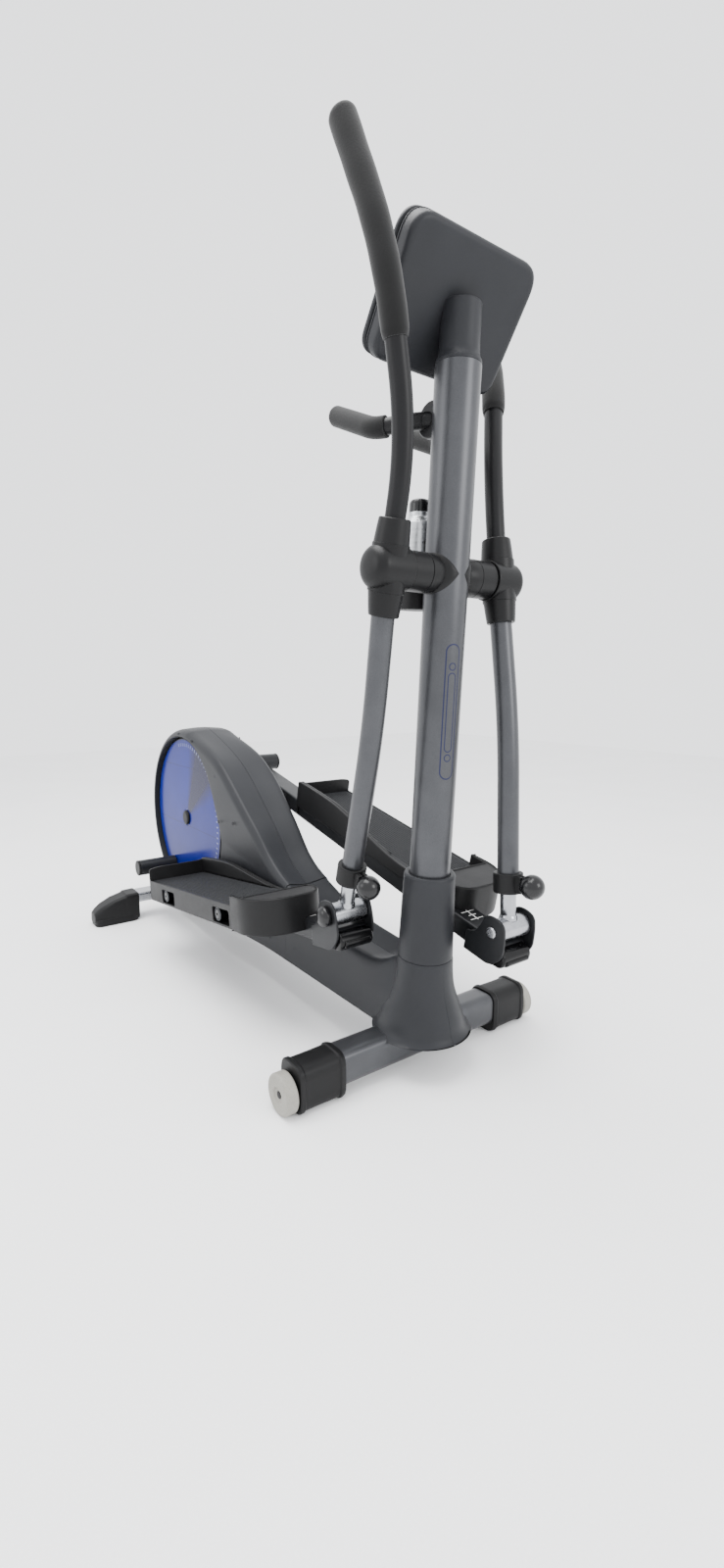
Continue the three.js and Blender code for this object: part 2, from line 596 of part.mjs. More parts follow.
// ---------------------------------------------------------------- mast, collar and cross axle
const pivotAlong = alongMast(linkage.pivotHeight);
const mastTube = ringZ(clearOf(mast.radius - mast.wall, 24), mast.radius, alongMast(mast.bottom),
  alongMast(mast.top), 24);
const axleHole = rodY(clearOf(pivotAxle.radius + gap), -mast.radius - 1, mast.radius + 1)
  .translate(0, 0, pivotAlong);
named('mast', cut(mastTube, axleHole), colours.greyPaint(), mastGroup);

const [collarLow, collarHigh] = [alongMast(collar.bottom), alongMast(collar.top)];
named('mast_collar', turnedZ([
  [collar.bottomRadius - boot.wall, collarLow], [collar.bottomRadius, collarLow],
  [collar.topRadius, collarHigh - collar.lip],
    [collar.topRadius - collar.lip / 3, collarHigh - collar.lip / 4],
  [collar.topRadius - collar.lip / 2, collarHigh], [clearOf(mast.radius + gap, 24), collarHigh],
  [clearOf(mast.radius + gap, 24), collarHigh - collar.lip],
    [collar.topRadius - boot.wall, collarHigh - 1.5 * collar.lip],
  [collar.bottomRadius - boot.wall, collarLow],
], 24), colours.casingPlastic(), mastGroup);

const pivotPlace = vector(pivot.x, 0, pivot.y);
named('pivot_axle', rodY(pivotAxle.radius, -pivotAxle.halfLength, pivotAxle.halfLength), colours.steel(),
  assembly)
  .position.copy(pivotPlace);

const mastClearance = leaned(rodZ(clearOf(mast.radius + gap, 24), clearOf(mast.radius + gap, 24), 0,
  alongMast(mast.top), 24));
for (const side of sides) {
  const cover = rodY(hubCover.radius, side.y * hubCover.inner, side.y * hubCover.outer, 20)
    .translate(pivot.x, 0, pivot.y);
  const bore = rodY(clearOf(pivotAxle.radius + gap), 0, side.y * (hubCover.outer + 1))
    .translate(pivot.x, 0, pivot.y);
  named(`hub_cover_${side.name}`, cut(cover, mastClearance, bore), colours.blackPlastic(), assembly);
}

// ---------------------------------------------------------------- handles and lower links
// A run of straight lengths joined by smooth bends.
function bentPath(points, reach) {
  const path = new THREE.CurvePath();
  let from = points[0];
  for (let i = 1; i < points.length - 1; i += 1) {
    const before = points[i].clone().add(points[i - 1].clone().sub(points[i]).setLength(reach));
    const after = points[i].clone().add(points[i + 1].clone().sub(points[i]).setLength(reach));
    path.add(new THREE.LineCurve3(from, before));
    path.add(new THREE.QuadraticBezierCurve3(before, points[i], after));
    from = after;
  }
  path.add(new THREE.LineCurve3(from, points.at(-1)));
  return path;
}

// The part of a path between two shares of its length, as a smooth curve.
function stretchOf(path, start, end, count = 8) {
  const points = Array.from({ length: count + 1 },
    (_, i) => path.getPointAt(start + (end - start) * (i / count)));
  return new THREE.CatmullRomCurve3(points, false, 'centripetal');
}

function buildHandle(side) {
  const place = clevisAt(side);
  const swing = Math.asin((pivot.x - place.x) / linkage.rocker);
  const handle = jointGroup(`handle_pivot_${side.name}`, assembly, pivot.x, 0, pivot.y, swing);
  const hubY = side.y * linkage.hubY;
  const inward = (depth) => side.y * (linkage.hubY + (linkage.clevisY - linkage.hubY) * (depth / linkage.rocker));
  const bend = vector(handleTube.bendForward, inward(handleTube.bend), -handleTube.bend);
  const clevisPoint = vector(0, inward(linkage.rocker), -linkage.rocker);
  const up = bend.clone().sub(clevisPoint).normalize();

  // Frame of the straight lower tube: its origin on the clevis pin, its Z up along the tube.
  const lower = new THREE.Group();
  lower.position.copy(clevisPoint);
  lower.quaternion.setFromUnitVectors(vector(0, 0, 1), up);
  lower.name = `lower_axis_${side.name}`;
  handle.add(lower);
  lower.updateMatrix();
  const inHandle = (geometry) => geometry.applyMatrix4(lower.matrix);

  const tubeEnd = clevisPoint.clone().addScaledVector(up, handleTube.collarGrip);
  const tubePath = bentPath([vector(0, hubY, 0), bend, tubeEnd], 70);
  const barrel = rodY(handleTube.barrelRadius, side.y * handleTube.barrelInner,
    side.y * handleTube.barrelOuter);
  const axleBore = rodY(clearOf(pivotAxle.radius + running), 0, side.y * (handleTube.barrelOuter + 1));
  const stub = rodZ(handleTube.stubRadius, handleTube.stubRadius, 0, handleTube.stubTop)
    .translate(0, hubY, 0);
  const tube = tubeAlong(tubePath, handleTube.radius, 8, clearOf(link.radius + running));
  named(`handle_tube_${side.name}`, cut(join(tube, barrel, stub), axleBore), colours.greyPaint(), handle);

  const upperPath = bentPath([
    vector(0, hubY, upperHandle.bottom), vector(0, hubY, upperHandle.straight),
    vector(-upperHandle.curveBack, side.y * (linkage.hubY + upperHandle.splayY * 0.6),
      upperHandle.curveHeight),
    vector(-upperHandle.topBack, side.y * (linkage.hubY + upperHandle.splayY), upperHandle.topHeight),
  ], 60);
  const upperTube = tubeAlong(upperPath, upperHandle.radius, 10, clearOf(handleTube.stubRadius + gap, 14),
    7);
  named(`upper_handle_${side.name}`, upperTube, colours.blackPlastic(), handle);
  named(`foam_grip_${side.name}`, tubeAlong(
    stretchOf(upperPath, upperHandle.gripStart, upperHandle.gripEnd), upperHandle.gripRadius, 8,
    upperHandle.radius + 5 * gap, 7,
  ), colours.rubber(), handle);

  const shroudBody = turnedY([
    [0, side.y * shroud.inner], [shroud.radius, side.y * shroud.inner],
      [shroud.radius, side.y * shroud.outer],
    [shroud.radius * 0.87, side.y * (shroud.outer + 12)],
      [shroud.radius * 0.5, side.y * (shroud.outer + 20)],
    [0, side.y * (shroud.outer + 23)],
  ]);
  const downSleeve = rodZ(shroud.sleeveEnd, shroud.sleeveTop, -shroud.sleeveLength, 0)
    .translate(0, hubY, 0);
  const upSleeve = rodZ(shroud.sleeveTop, shroud.sleeveEnd, 0, shroud.sleeveLength).translate(0, hubY, 0);
  const tubeRoom = rodBetween(vector(0, hubY, 0), bend, clearOf(handleTube.radius + 2 * gap));
  const barrelRoom = rodY(
    clearOf(handleTube.barrelRadius + gap), side.y * (shroud.inner - 1),
      side.y * (handleTube.barrelOuter + gap),
  );
  const axleRoom = rodY(clearOf(pivotAxle.radius + running), 0, side.y * (pivotAxle.halfLength + running));
  const neckRoom = clearOf(upperHandle.radius + gap);
  const upperRoom = rodZ(neckRoom, neckRoom, 0, shroud.sleeveLength + 1).translate(0, hubY, 0);
  named(`hub_shroud_${side.name}`,
    cut(join(shroudBody, downSleeve, upSleeve), tubeRoom, barrelRoom, axleRoom, upperRoom),
    colours.blackPlastic(), handle);

  // Clamp collar about the foot of the tube, with an ear for the knob's screw.
  const collarZ = handleTube.collarGrip;
  const clampLow = collarZ - clamp.height / 2;
  const ear = block(handleTube.radius, clamp.earReach, -clamp.earHalfWidth, clamp.earHalfWidth,
    collarZ - clamp.earHalfHeight, collarZ + clamp.earHalfHeight);
  const ring = rodZ(clamp.radius, clamp.radius, clampLow, clampLow + clamp.height, 20);
  const tubeClear = clearOf(handleTube.radius + gap);
  const collarBore = rodZ(tubeClear, tubeClear, clampLow - 1, clampLow + clamp.height + 1);
  const screwHole = rodY(clearOf(knob.stemRadius + running, 12), 0, knob.reach, 12).rotateZ(-Math.PI / 2)
    .translate(0, 0, collarZ);
  named(`clamp_collar_${side.name}`, cut(join(ring, ear), collarBore, screwHole), colours.blackPlastic(),
    lower);

  const knobAxis = new THREE.Group();
  knobAxis.position.set(0, 0, collarZ);
  knobAxis.name = `knob_axis_${side.name}`;
  lower.add(knobAxis);
  const ballStart = clamp.earReach + gap;
  const flatAngle = Math.PI * knob.flatShare;
  const ballSteps = 6;
  const ball = Array.from({ length: ballSteps + 1 }, (_, i) => {
    const turn = flatAngle + (Math.PI - flatAngle) * (i / ballSteps);
    return [i < ballSteps ? knob.radius * Math.sin(turn) : 0, knob.reach - knob.radius * Math.cos(turn)];
  });
  named(`clamp_knob_${side.name}`, turnedY([
    [0, knob.stemStart], [knob.stemRadius, knob.stemStart], [knob.stemRadius, ballStart],
    [knob.radius * Math.sin(flatAngle), ballStart], ...ball.slice(1),
  ], 16).rotateZ(-Math.PI / 2), colours.rubber(), knobAxis);

  const linkTube = inHandle(rodZ(link.radius, link.radius, 0, link.top));
  const cross = rodY(link.barrelRadius, clevisPoint.y - link.barrelHalf, clevisPoint.y + link.barrelHalf,
    20)
    .translate(0, 0, -linkage.rocker);
  const pinBore = rodY(clearOf(clevis.pinRadius + running), clevisPoint.y - 60, clevisPoint.y + 60)
    .translate(0, 0, -linkage.rocker);
  named(`lower_link_${side.name}`, cut(join(linkTube, cross), pinBore), colours.steel(), handle);
}

// ---------------------------------------------------------------- pedal arms and footplates
// In an arm's frame the clevis pin is the origin and X runs forward along the line from the crank pin.
function buildPedalArm(side) {
  const place = clevisAt(side);
  const pin = crankPinAt(side);
  const tilt = Math.atan2(pin.y - place.y, place.x - pin.x);
  const frame = jointGroup(`clevis_pivot_${side.name}`, assembly, place.x, 0, place.y, tilt);
  const middle = side.y * linkage.clevisY;
  const slant = -side.y * ((linkage.crankEndY - linkage.clevisY) / linkage.armSpan);
  const slanted = (geometry) => sheared(geometry, slant).translate(0, middle, 0);
  const out = (distance) => side.y * distance;

  // The arm is a box tube, open at its rear end; the front end is closed by the clevis block.
  const boxOutline = (inset, rear) => {
    const half = arm.height / 2 - inset;
    const shape = new THREE.Shape();
    shape.moveTo(-rear, -arm.rearDrop - half);
    shape.lineTo(-arm.frontEnd, -arm.frontDrop - half);
    shape.lineTo(-arm.frontEnd, -arm.frontDrop + half);
    shape.lineTo(-rear, -arm.rearDrop + half);
    shape.closePath();
    return shape;
  };
  const boxTube = cut(
    plateY(boxOutline(0, arm.rearEnd), -arm.width / 2, arm.width / 2),
    plateY(boxOutline(steelWall, arm.rearEnd + 1), steelWall - arm.width / 2, arm.width / 2 - steelWall),
  );
  const steelwork = [slanted(boxTube)];
  const boltInner = footplate.outer - footplate.wall - 2;
  for (const x of arm.bolts) {
    const onBracket = (geometry) => slanted(geometry.translate(-x, 0, -arm.boltDrop));
    steelwork.push(onBracket(block(
      -arm.bracketLength / 2, arm.bracketLength / 2, 0, out(boltInner), -arm.bracketHeight / 2,
        arm.bracketHeight / 2,
    )));
    steelwork.push(onBracket(rodY(arm.boltRadius, out(boltInner - 5), out(footplate.outer), 12)));
    steelwork.push(onBracket(rodY(arm.boltHeadRadius, out(footplate.outer - 3), out(footplate.outer + 5))));
  }
  const blockLow = -arm.frontDrop - arm.height / 2;
  const noseRadius = (-clevis.blockTop - blockLow) / 2;
  steelwork.push(block(
    -clevis.blockRear, clevis.blockFront, middle - clevis.plateInner - 1, middle + clevis.plateInner + 1,
    blockLow, -clevis.blockTop,
  ));
  steelwork.push(rodY(noseRadius, middle - clevis.plateInner - 1, middle + clevis.plateInner + 1)
    .translate(clevis.blockFront, 0, (blockLow - clevis.blockTop) / 2));
  const plate = new THREE.Shape();
  plate.moveTo(-clevis.blockRear, blockLow);
  plate.lineTo(clevis.blockFront, blockLow);
  plate.absarc(0, 0, clevis.plateRadius, -0.2, Math.PI + 0.3);
  plate.lineTo(-clevis.blockRear, -clevis.blockTop);
  plate.closePath();
  for (const face of [-1, 1]) {
    steelwork.push(plateY(plate, middle + face * clevis.plateInner, middle + face * clevis.plateOuter,
      { curveSegments: 8 }));
  }
  const bearingTube = rodY(arm.bearingRadius, out(arm.bearingInner), out(arm.bearingOuter), 20)
    .translate(-linkage.armSpan, 0, 0);
  steelwork.push(bearingTube);
  const crankBore = rodY(clearOf(crankPin.radius + gap), 0, out(arm.bearingOuter + 1))
    .translate(-linkage.armSpan, 0, 0);
  const clevisBore = rodY(clearOf(clevis.pinRadius + gap), middle - 60, middle + 60);
  named(`pedal_arm_${side.name}`, cut(join(...steelwork), crankBore, clevisBore), colours.greyPaint(),
    frame);

  named(`crank_pin_${side.name}`, turnedY([
    [0, out(crankPin.inner)], [crankPin.radius, out(crankPin.inner)],
      [crankPin.radius, out(arm.bearingOuter + gap)],
    [crankPin.headRadius, out(arm.bearingOuter + gap)],
      [crankPin.headRadius, out(arm.bearingOuter + crankPin.headLength)],
    [0, out(arm.bearingOuter + crankPin.headLength + 2)],
  ], 20), colours.blackPlastic(), frame).position.x = -linkage.armSpan;

  const seat = clevis.plateOuter + gap;
  named(`clevis_pin_${side.name}`, turnedY([
    [0, out(-seat - clevis.headLength)], [clevis.headRadius, out(-seat - clevis.headLength)],
    [clevis.headRadius, out(-seat)], [clevis.pinRadius, out(-seat)], [clevis.pinRadius, out(seat)],
    [clevis.capRadius, out(seat)], [clevis.capRadius, out(seat + clevis.capLength * 0.4)],
    [clevis.capRadius * 0.8, out(seat + clevis.capLength * 0.8)], [0, out(seat + clevis.capLength)],
  ]), colours.blackPlastic(), frame).position.y = middle;

  // Footplate: a ribbed tray with a slotted outer skirt, a raised rim and a closed toe guard.
  const toeOutline = new THREE.Shape();
  toeOutline.moveTo(-footplate.toeStart, out(-footplate.inner));
  toeOutline.lineTo(-footplate.toeStart, out(footplate.outer + footplate.bulge));
  toeOutline.lineTo(-footplate.toeFront - 66, out(footplate.outer + footplate.bulge));
  toeOutline.quadraticCurveTo(
    -footplate.toeFront, out(footplate.outer + footplate.bulge), -footplate.toeFront,
      out(footplate.outer / 2 + 10),
  );
  toeOutline.lineTo(-footplate.toeFront, out(-footplate.inner + 16));
  toeOutline.quadraticCurveTo(
    -footplate.toeFront, out(-footplate.inner), -footplate.toeFront - 16, out(-footplate.inner),
  );
  toeOutline.closePath();
  const under = footplate.top - footplate.plate;
  const toe = cut(
    plateZ(toeOutline, -footplate.skirt, footplate.toeTop, { curveSegments: 8 }),
    block(-footplate.toeStart - 1, 0, out(-footplate.inner - 1), out(footplate.toeSkirtInner),
      -footplate.skirt - 1, under),
    block(-footplate.toeStart - 1, -footplate.toeFront - 46, out(footplate.toeSkirtInner - 1),
      out(footplate.outer - footplate.wall), -footplate.skirt - 1, under),
  );
  const tray = block(-footplate.rear, -footplate.toeStart + 1, out(-footplate.inner),
    out(footplate.outer), under, footplate.top);
  const outerSkirt = block(-footplate.rear, -footplate.toeStart + 1, out(footplate.outer - footplate.wall),
    out(footplate.outer), -footplate.skirt, under + 1);
  const rearSkirt = block(-footplate.rear, -footplate.rear + footplate.wall, out(footplate.toeSkirtInner),
    out(footplate.outer), -footplate.skirt, under + 1);
  const innerSkirt = block(-footplate.rear, -footplate.toeStart + 1, out(-footplate.inner),
    out(-footplate.inner + footplate.wall), -footplate.skirt / 2, under + 1);
  const rearRim = block(-footplate.rear, -footplate.rear + footplate.rimWidth, out(-footplate.inner),
    out(footplate.outer),
    footplate.top - 1, footplate.rearRim);
  const rimSide = new THREE.Shape();
  rimSide.moveTo(-footplate.rear, footplate.top - 1);
  rimSide.lineTo(-footplate.rimTaperEnd, footplate.top - 1);
  rimSide.lineTo(-footplate.rimTaperEnd, footplate.top + 6);
  rimSide.quadraticCurveTo(-(footplate.rear + footplate.rimTaperEnd) / 2 + 60, footplate.innerRim,
    -footplate.rear + 120,
    footplate.innerRim);
  rimSide.lineTo(-footplate.rear, footplate.innerRim);
  rimSide.closePath();
  const innerRim = plateY(rimSide, out(-footplate.inner), out(-footplate.inner + footplate.rimWidth),
    { curveSegments: 8 });
  const slots = arm.bolts.map((x) => block(
    -x - arm.boltHeadRadius - 1, -x + arm.boltHeadRadius + footplate.slotTravel + 1,
    out(footplate.outer - footplate.wall - 1), out(footplate.outer + 1),
    -arm.boltDrop - arm.boltHeadRadius - 1, -arm.boltDrop + arm.boltHeadRadius + 1,
  ));
  named(`footplate_${side.name}`,
    slanted(cut(join(tray, outerSkirt, rearSkirt, innerSkirt, rearRim, innerRim, toe), ...slots)),
    colours.blackPlastic(), frame);
}

for (const side of sides) {
  buildHandle(side);
  buildPedalArm(side);
}

// ---------------------------------------------------------------- console, fixed handlebar and bottle
const consoleLean = -(Math.PI / 2 - consoleBox.tilt);
const consolePlace = vector(-consoleBox.back, 0, alongMast(mast.top) + consoleBox.rise);
const consoleFace = consoleBox.depth / 2;
const inMast = (geometry) => geometry.rotateY(consoleLean).translate(consolePlace.x, 0, consolePlace.z);
const slab = plateZ(roundedRect(consoleBox.height, consoleBox.width, consoleBox.corner), -consoleFace + 8,
  consoleFace - 8, {
  curveSegments: 3, bevelEnabled: true, bevelThickness: 8, bevelSize: 8, bevelOffset: -8, bevelSegments: 1,
});
const screenX = consoleBox.height / 2 - consoleBox.screenHeight / 2 - 26;
const keyX = -consoleBox.height / 2 + 44;
const screenPocket = block(
  screenX - consoleBox.screenHeight / 2 - gap, screenX + consoleBox.screenHeight / 2 + gap,
  -consoleBox.screenWidth / 2 - gap, consoleBox.screenWidth / 2 + gap,
  consoleFace - consoleBox.screenDepth - gap, consoleFace + 1,
);
const keyDepth = 6;
const keyPockets = sides.map((side) => block(
  keyX - consoleBox.keyHeight / 2 - running, keyX + consoleBox.keyHeight / 2 + running,
  side.y * (consoleBox.keySpacing / 2) - consoleBox.keyWidth / 2 - running,
  side.y * (consoleBox.keySpacing / 2) + consoleBox.keyWidth / 2 + running,
  consoleFace - keyDepth, consoleFace + 1,
));
const neckTop = alongMast(mast.top) + consoleBox.rise;
const neck = rodZ(consoleBox.neckRadius, consoleBox.neckRadius, alongMast(mast.top) + gap, neckTop, 20);
const spigot = rodZ(post.radius, post.radius, alongMast(mast.top) - 50, alongMast(mast.top) + 2, 20);
const housing = inMast(cut(slab, screenPocket, ...keyPockets));
named('console_housing', join(housing, neck, spigot), colours.casingPlastic(), mastGroup);

const consoleGroup = new THREE.Group();
consoleGroup.name = 'console_face';
consoleGroup.position.copy(consolePlace);
consoleGroup.rotation.y = consoleLean;
mastGroup.add(consoleGroup);
named('console_lens', block(
  screenX - consoleBox.screenHeight / 2, screenX + consoleBox.screenHeight / 2,
  -consoleBox.screenWidth / 2, consoleBox.screenWidth / 2, consoleFace - consoleBox.screenDepth,
    consoleFace,
), colours.screen(), consoleGroup);
for (const side of sides) {
  const y = side.y * (consoleBox.keySpacing / 2);
  named(`console_key_${side.name}`, block(
    keyX - consoleBox.keyHeight / 2, keyX + consoleBox.keyHeight / 2, y - consoleBox.keyWidth / 2,
    y + consoleBox.keyWidth / 2, consoleFace - keyDepth + consoleBox.keyTravel + gap,
      consoleFace + consoleBox.keyStand,
  ), colours.blackPlastic(), consoleGroup);
}

const barPlace = vector(mastX(bar.height), 0, bar.height);
const barEnds = sides.map((side) => vector(-bar.back, side.y * bar.reachY, bar.rise));
const barBends = sides.map((side) => vector(-bar.bendBack, side.y * bar.reachY, 0));
const barCorners = sides.map((side) => vector(-bar.standoff, side.y * bar.innerY, 0));
const barPath = bentPath([barEnds[0], barBends[0], barCorners[0], barCorners[1], barBends[1], barEnds[1]],
  30);
const barClamp = block(-bar.standoff, 0, -bar.clampHalf, bar.clampHalf, -bar.clampHalf, bar.clampHalf)
  .translate(barPlace.x, 0, barPlace.z);
const barTube = tubeAlong(barPath, bar.radius, 20, 0, 6).translate(barPlace.x, 0, barPlace.z);
named('fixed_handlebar', cut(join(barTube, barClamp), mastClearance), colours.blackPlastic(), assembly);
sides.forEach((side, i) => {
  const grip = new THREE.Group();
  grip.position.copy(barEnds[i]).add(barPlace);
  grip.quaternion.setFromUnitVectors(vector(0, 0, 1), barEnds[i].clone().sub(barBends[i]).normalize());
  assembly.add(grip);
  const length = barEnds[i].distanceTo(barBends[i]) - 40;
  named(`handlebar_grip_${side.name}`, ringZ(clearOf(bar.radius + 2 * gap), bar.gripRadius, -length, -2),
    colours.rubber(), grip);
});

const bottleX = -(mast.radius + gap + 1.5 * cage.wall + cage.wall + bottle.radius + 2 * gap);
const bottleAxis = new THREE.Group();
bottleAxis.name = 'bottle_axis';
bottleAxis.position.set(bottleX, 0, alongMast(bottle.base));
mastGroup.add(bottleAxis);
const cageBore = clearOf(bottle.radius + 2 * gap, 20);
const cageOuter = cageBore + cage.wall;
const cup = turnedZ([
  [0, -cage.wall - gap], [cageOuter, -cage.wall - gap], [cageOuter, cage.cupHeight],
    [cageBore, cage.cupHeight],
  [cageBore, -gap], [0, -gap],
], 20);
const hoop = ringZ(cageBore, cageOuter, cage.ringZ, cage.ringZ + cage.ringHeight, 20);
const strip = block(cageBore + 1, -bottleX - mast.radius - gap, -cage.stripWidth / 2, cage.stripWidth / 2,
  -cage.wall - gap, cage.ringZ + cage.ringHeight);
named('bottle_cage', join(cup, hoop, strip), colours.blackPlastic(), bottleAxis);
named('drink_bottle', turnedZ([
  [0, 0], [bottle.radius - 3, 0], [bottle.radius, 4], [bottle.radius, bottle.shoulder],
  [bottle.neckRadius, bottle.shoulder + 16], [bottle.neckRadius, bottle.shoulder + 20],
  [bottle.capRadius, bottle.shoulder + 20], [bottle.capRadius, bottle.height - 4],
  [bottle.capRadius - 4, bottle.height], [0, bottle.height],
], 20), colours.steel(), bottleAxis);

// The model's origin is on the floor, in the middle of its length.
const bounds = new THREE.Box3().setFromObject(assembly, true);
assembly.position.x = -(bounds.min.x + bounds.max.x) / 2;

export default trainer;
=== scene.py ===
import json
import bpy
import bmesh
import numpy as np
from mathutils import Matrix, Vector
from mathutils.geometry import tessellate_polygon


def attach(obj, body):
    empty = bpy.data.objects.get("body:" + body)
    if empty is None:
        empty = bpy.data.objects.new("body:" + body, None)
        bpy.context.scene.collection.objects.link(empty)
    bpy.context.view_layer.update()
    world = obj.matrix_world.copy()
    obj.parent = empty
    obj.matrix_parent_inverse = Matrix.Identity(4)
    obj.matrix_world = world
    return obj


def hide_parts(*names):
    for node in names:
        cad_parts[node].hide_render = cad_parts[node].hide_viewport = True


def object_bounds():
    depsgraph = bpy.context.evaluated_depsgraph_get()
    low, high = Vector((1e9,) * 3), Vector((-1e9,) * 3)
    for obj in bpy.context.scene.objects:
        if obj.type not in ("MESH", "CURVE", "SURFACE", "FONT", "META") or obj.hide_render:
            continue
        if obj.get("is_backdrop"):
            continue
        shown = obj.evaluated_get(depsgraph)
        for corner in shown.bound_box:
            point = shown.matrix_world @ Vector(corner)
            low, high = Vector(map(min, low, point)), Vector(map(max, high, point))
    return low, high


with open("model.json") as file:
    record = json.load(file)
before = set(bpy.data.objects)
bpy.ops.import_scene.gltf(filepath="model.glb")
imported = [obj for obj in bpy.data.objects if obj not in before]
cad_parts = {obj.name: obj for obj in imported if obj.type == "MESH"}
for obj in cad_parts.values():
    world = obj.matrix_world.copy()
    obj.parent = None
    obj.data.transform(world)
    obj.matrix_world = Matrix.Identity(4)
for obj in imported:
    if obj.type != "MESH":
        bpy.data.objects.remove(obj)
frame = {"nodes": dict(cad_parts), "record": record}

cad_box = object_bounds()
joints = {j["name"]: j for j in frame["record"]["behaviour"]["joints"]}


# ---------------------------------------------------------------- camera, floor and studio light
# The machine stands on white floor paper. A wide soft light hangs overhead, a weak one stands at its left
# and a smaller one in front of it, and a pale sky keeps the black mouldings open.
def place(name):
    """Where a joint sits at rest, in millimetres."""
    return np.array(joints[name]["pos_m"]) * 1000


shift = np.array([place("crank_turn")[0], 0, 0])
eye = (np.array([1962.0, -824.2, 752.6]) + shift) / 1000
right = [0.59013, 0.80731, 0.00142]
up = [-0.12448, 0.08925, 0.98820]
back = [0.79765, -0.58334, 0.15317]
pose = np.eye(4)
pose[:3, :] = np.column_stack([right, up, back, eye])
camera = bpy.data.objects.new("camera", bpy.data.cameras.new("camera"))
camera.data.lens = 15.279
camera.data.sensor_width = 36.0
camera.data.clip_start = 0.02
camera.matrix_world = Matrix(pose.tolist())
bpy.context.scene.collection.objects.link(camera)
bpy.context.scene.camera = camera


def soft_light(name, at, size, watts):
    """A square light at a point in metres. It faces a point 0.6 m up, in the middle of the machine."""
    lamp = bpy.data.lights.new(name, "AREA")
    lamp.energy, lamp.size = watts, size
    obj = bpy.data.objects.new(name, lamp)
    back = np.array(at) - np.array([0.0, 0.0, 0.6])
    back = back / np.linalg.norm(back)
    side = np.cross([0, 0, 1], back)
    side = side / np.linalg.norm(side)
    stand = np.eye(4)
    stand[:3, :] = np.column_stack([side, np.cross(back, side), back, at])
    obj.matrix_world = Matrix(stand.tolist())
    bpy.context.scene.collection.objects.link(obj)


soft_light("overhead", (0.2, -0.6, 3.4), 2.2, 150)
soft_light("left_front", (-0.6, -3.2, 1.9), 1.4, 24)
soft_light("right_front", (3.3, 0.9, 1.7), 1.2, 40)

world = bpy.data.worlds.new("studio")
world.use_nodes = True
sky = world.node_tree.nodes["Background"]
sky.inputs["Color"].default_value = (0.97, 0.98, 1.0, 1.0)
sky.inputs["Strength"].default_value = 2.3
bpy.context.scene.world = world


def linear(hexed):
    """An sRGB hex colour as linear RGBA."""
    c = np.array([int(hexed[i:i + 2], 16) for i in (1, 3, 5)]) / 255
    c = np.where(c <= 0.04045, c / 12.92, ((c + 0.055) / 1.055) ** 2.4)
    return (*c.tolist(), 1.0)


def feed(tree, node, inputs):
    """Gives a node's inputs their values or links. A node stands for its first live output."""
    for key, value in inputs.items():
        if isinstance(value, str):
            value = linear(value)
        if isinstance(value, bpy.types.Node):
            value = next(socket for socket in value.outputs if socket.enabled)
        if isinstance(value, bpy.types.NodeSocket):
            tree.links.new(value, node.inputs[key])
        else:
            node.inputs[key].default_value = value


def add(tree, kind, inputs=None, **settings):
    """Adds one node with its settings, inputs and links."""
    node = tree.nodes.new("ShaderNode" + kind)
    for key, value in settings.items():
        setattr(node, key, value)
    feed(tree, node, inputs or {})
    return node


def over(tree, colour, ink, *shares):
    """Ink laid on a colour, as much as all the shares multiplied together."""
    total = shares[0]
    for share in shares[1:]:
        total = add(tree, "Math", {0: total, 1: share}, operation="MULTIPLY")
    return add(tree, "Mix", {"Factor": total, "A": colour, "B": ink}, data_type="RGBA")


def surface(name, low, high, rough, grain_mm, relief, mottle_mm=60.0, metal=0.0, stretch=(1, 1, 1), **fixed):
    """A finish: mottled between two colours, with a grain of a real size as bump and in the roughness.

    Roughness runs between the two numbers of rough. Relief is the height of the grain in millimetres."""
    material = bpy.data.materials.new(name)
    material.use_nodes = True
    tree = material.node_tree
    shader = tree.nodes["Principled BSDF"]
    shader.inputs["Metallic"].default_value = metal
    # Grained mouldings and dull coats throw back less of the lights than a polished skin.
    shader.inputs["Specular IOR Level"].default_value = 0.5 if metal > 0.5 else 0.2
    for key, value in fixed.items():
        shader.inputs[key.replace("_", " ")].default_value = value
    where = add(tree, "TexCoord").outputs["Object"]
    drawn = add(tree, "Mapping", {"Vector": where, "Scale": stretch})
    mottle = add(tree, "TexNoise", {"Vector": drawn, "Scale": 1000 / mottle_mm, "Detail": 5.0})
    grain = add(tree, "TexNoise", {"Vector": drawn, "Scale": 1000 / grain_mm, "Detail": 2.0})
    both = add(tree, "Math", {0: mottle, 1: grain}, operation="ADD")
    share = add(tree, "MapRange", {"Value": both, "From Min": 0.7, "From Max": 1.3})
    gloss = add(tree, "MapRange",
                {"Value": both, "From Min": 0.6, "From Max": 1.4, "To Min": rough[0], "To Max": rough[1]})
    bump = add(tree, "Bump", {"Height": grain, "Strength": 0.6, "Distance": relief / 1000})
    feed(tree, shader, {"Base Color": over(tree, low, high, share), "Roughness": gloss, "Normal": bump})
    return material


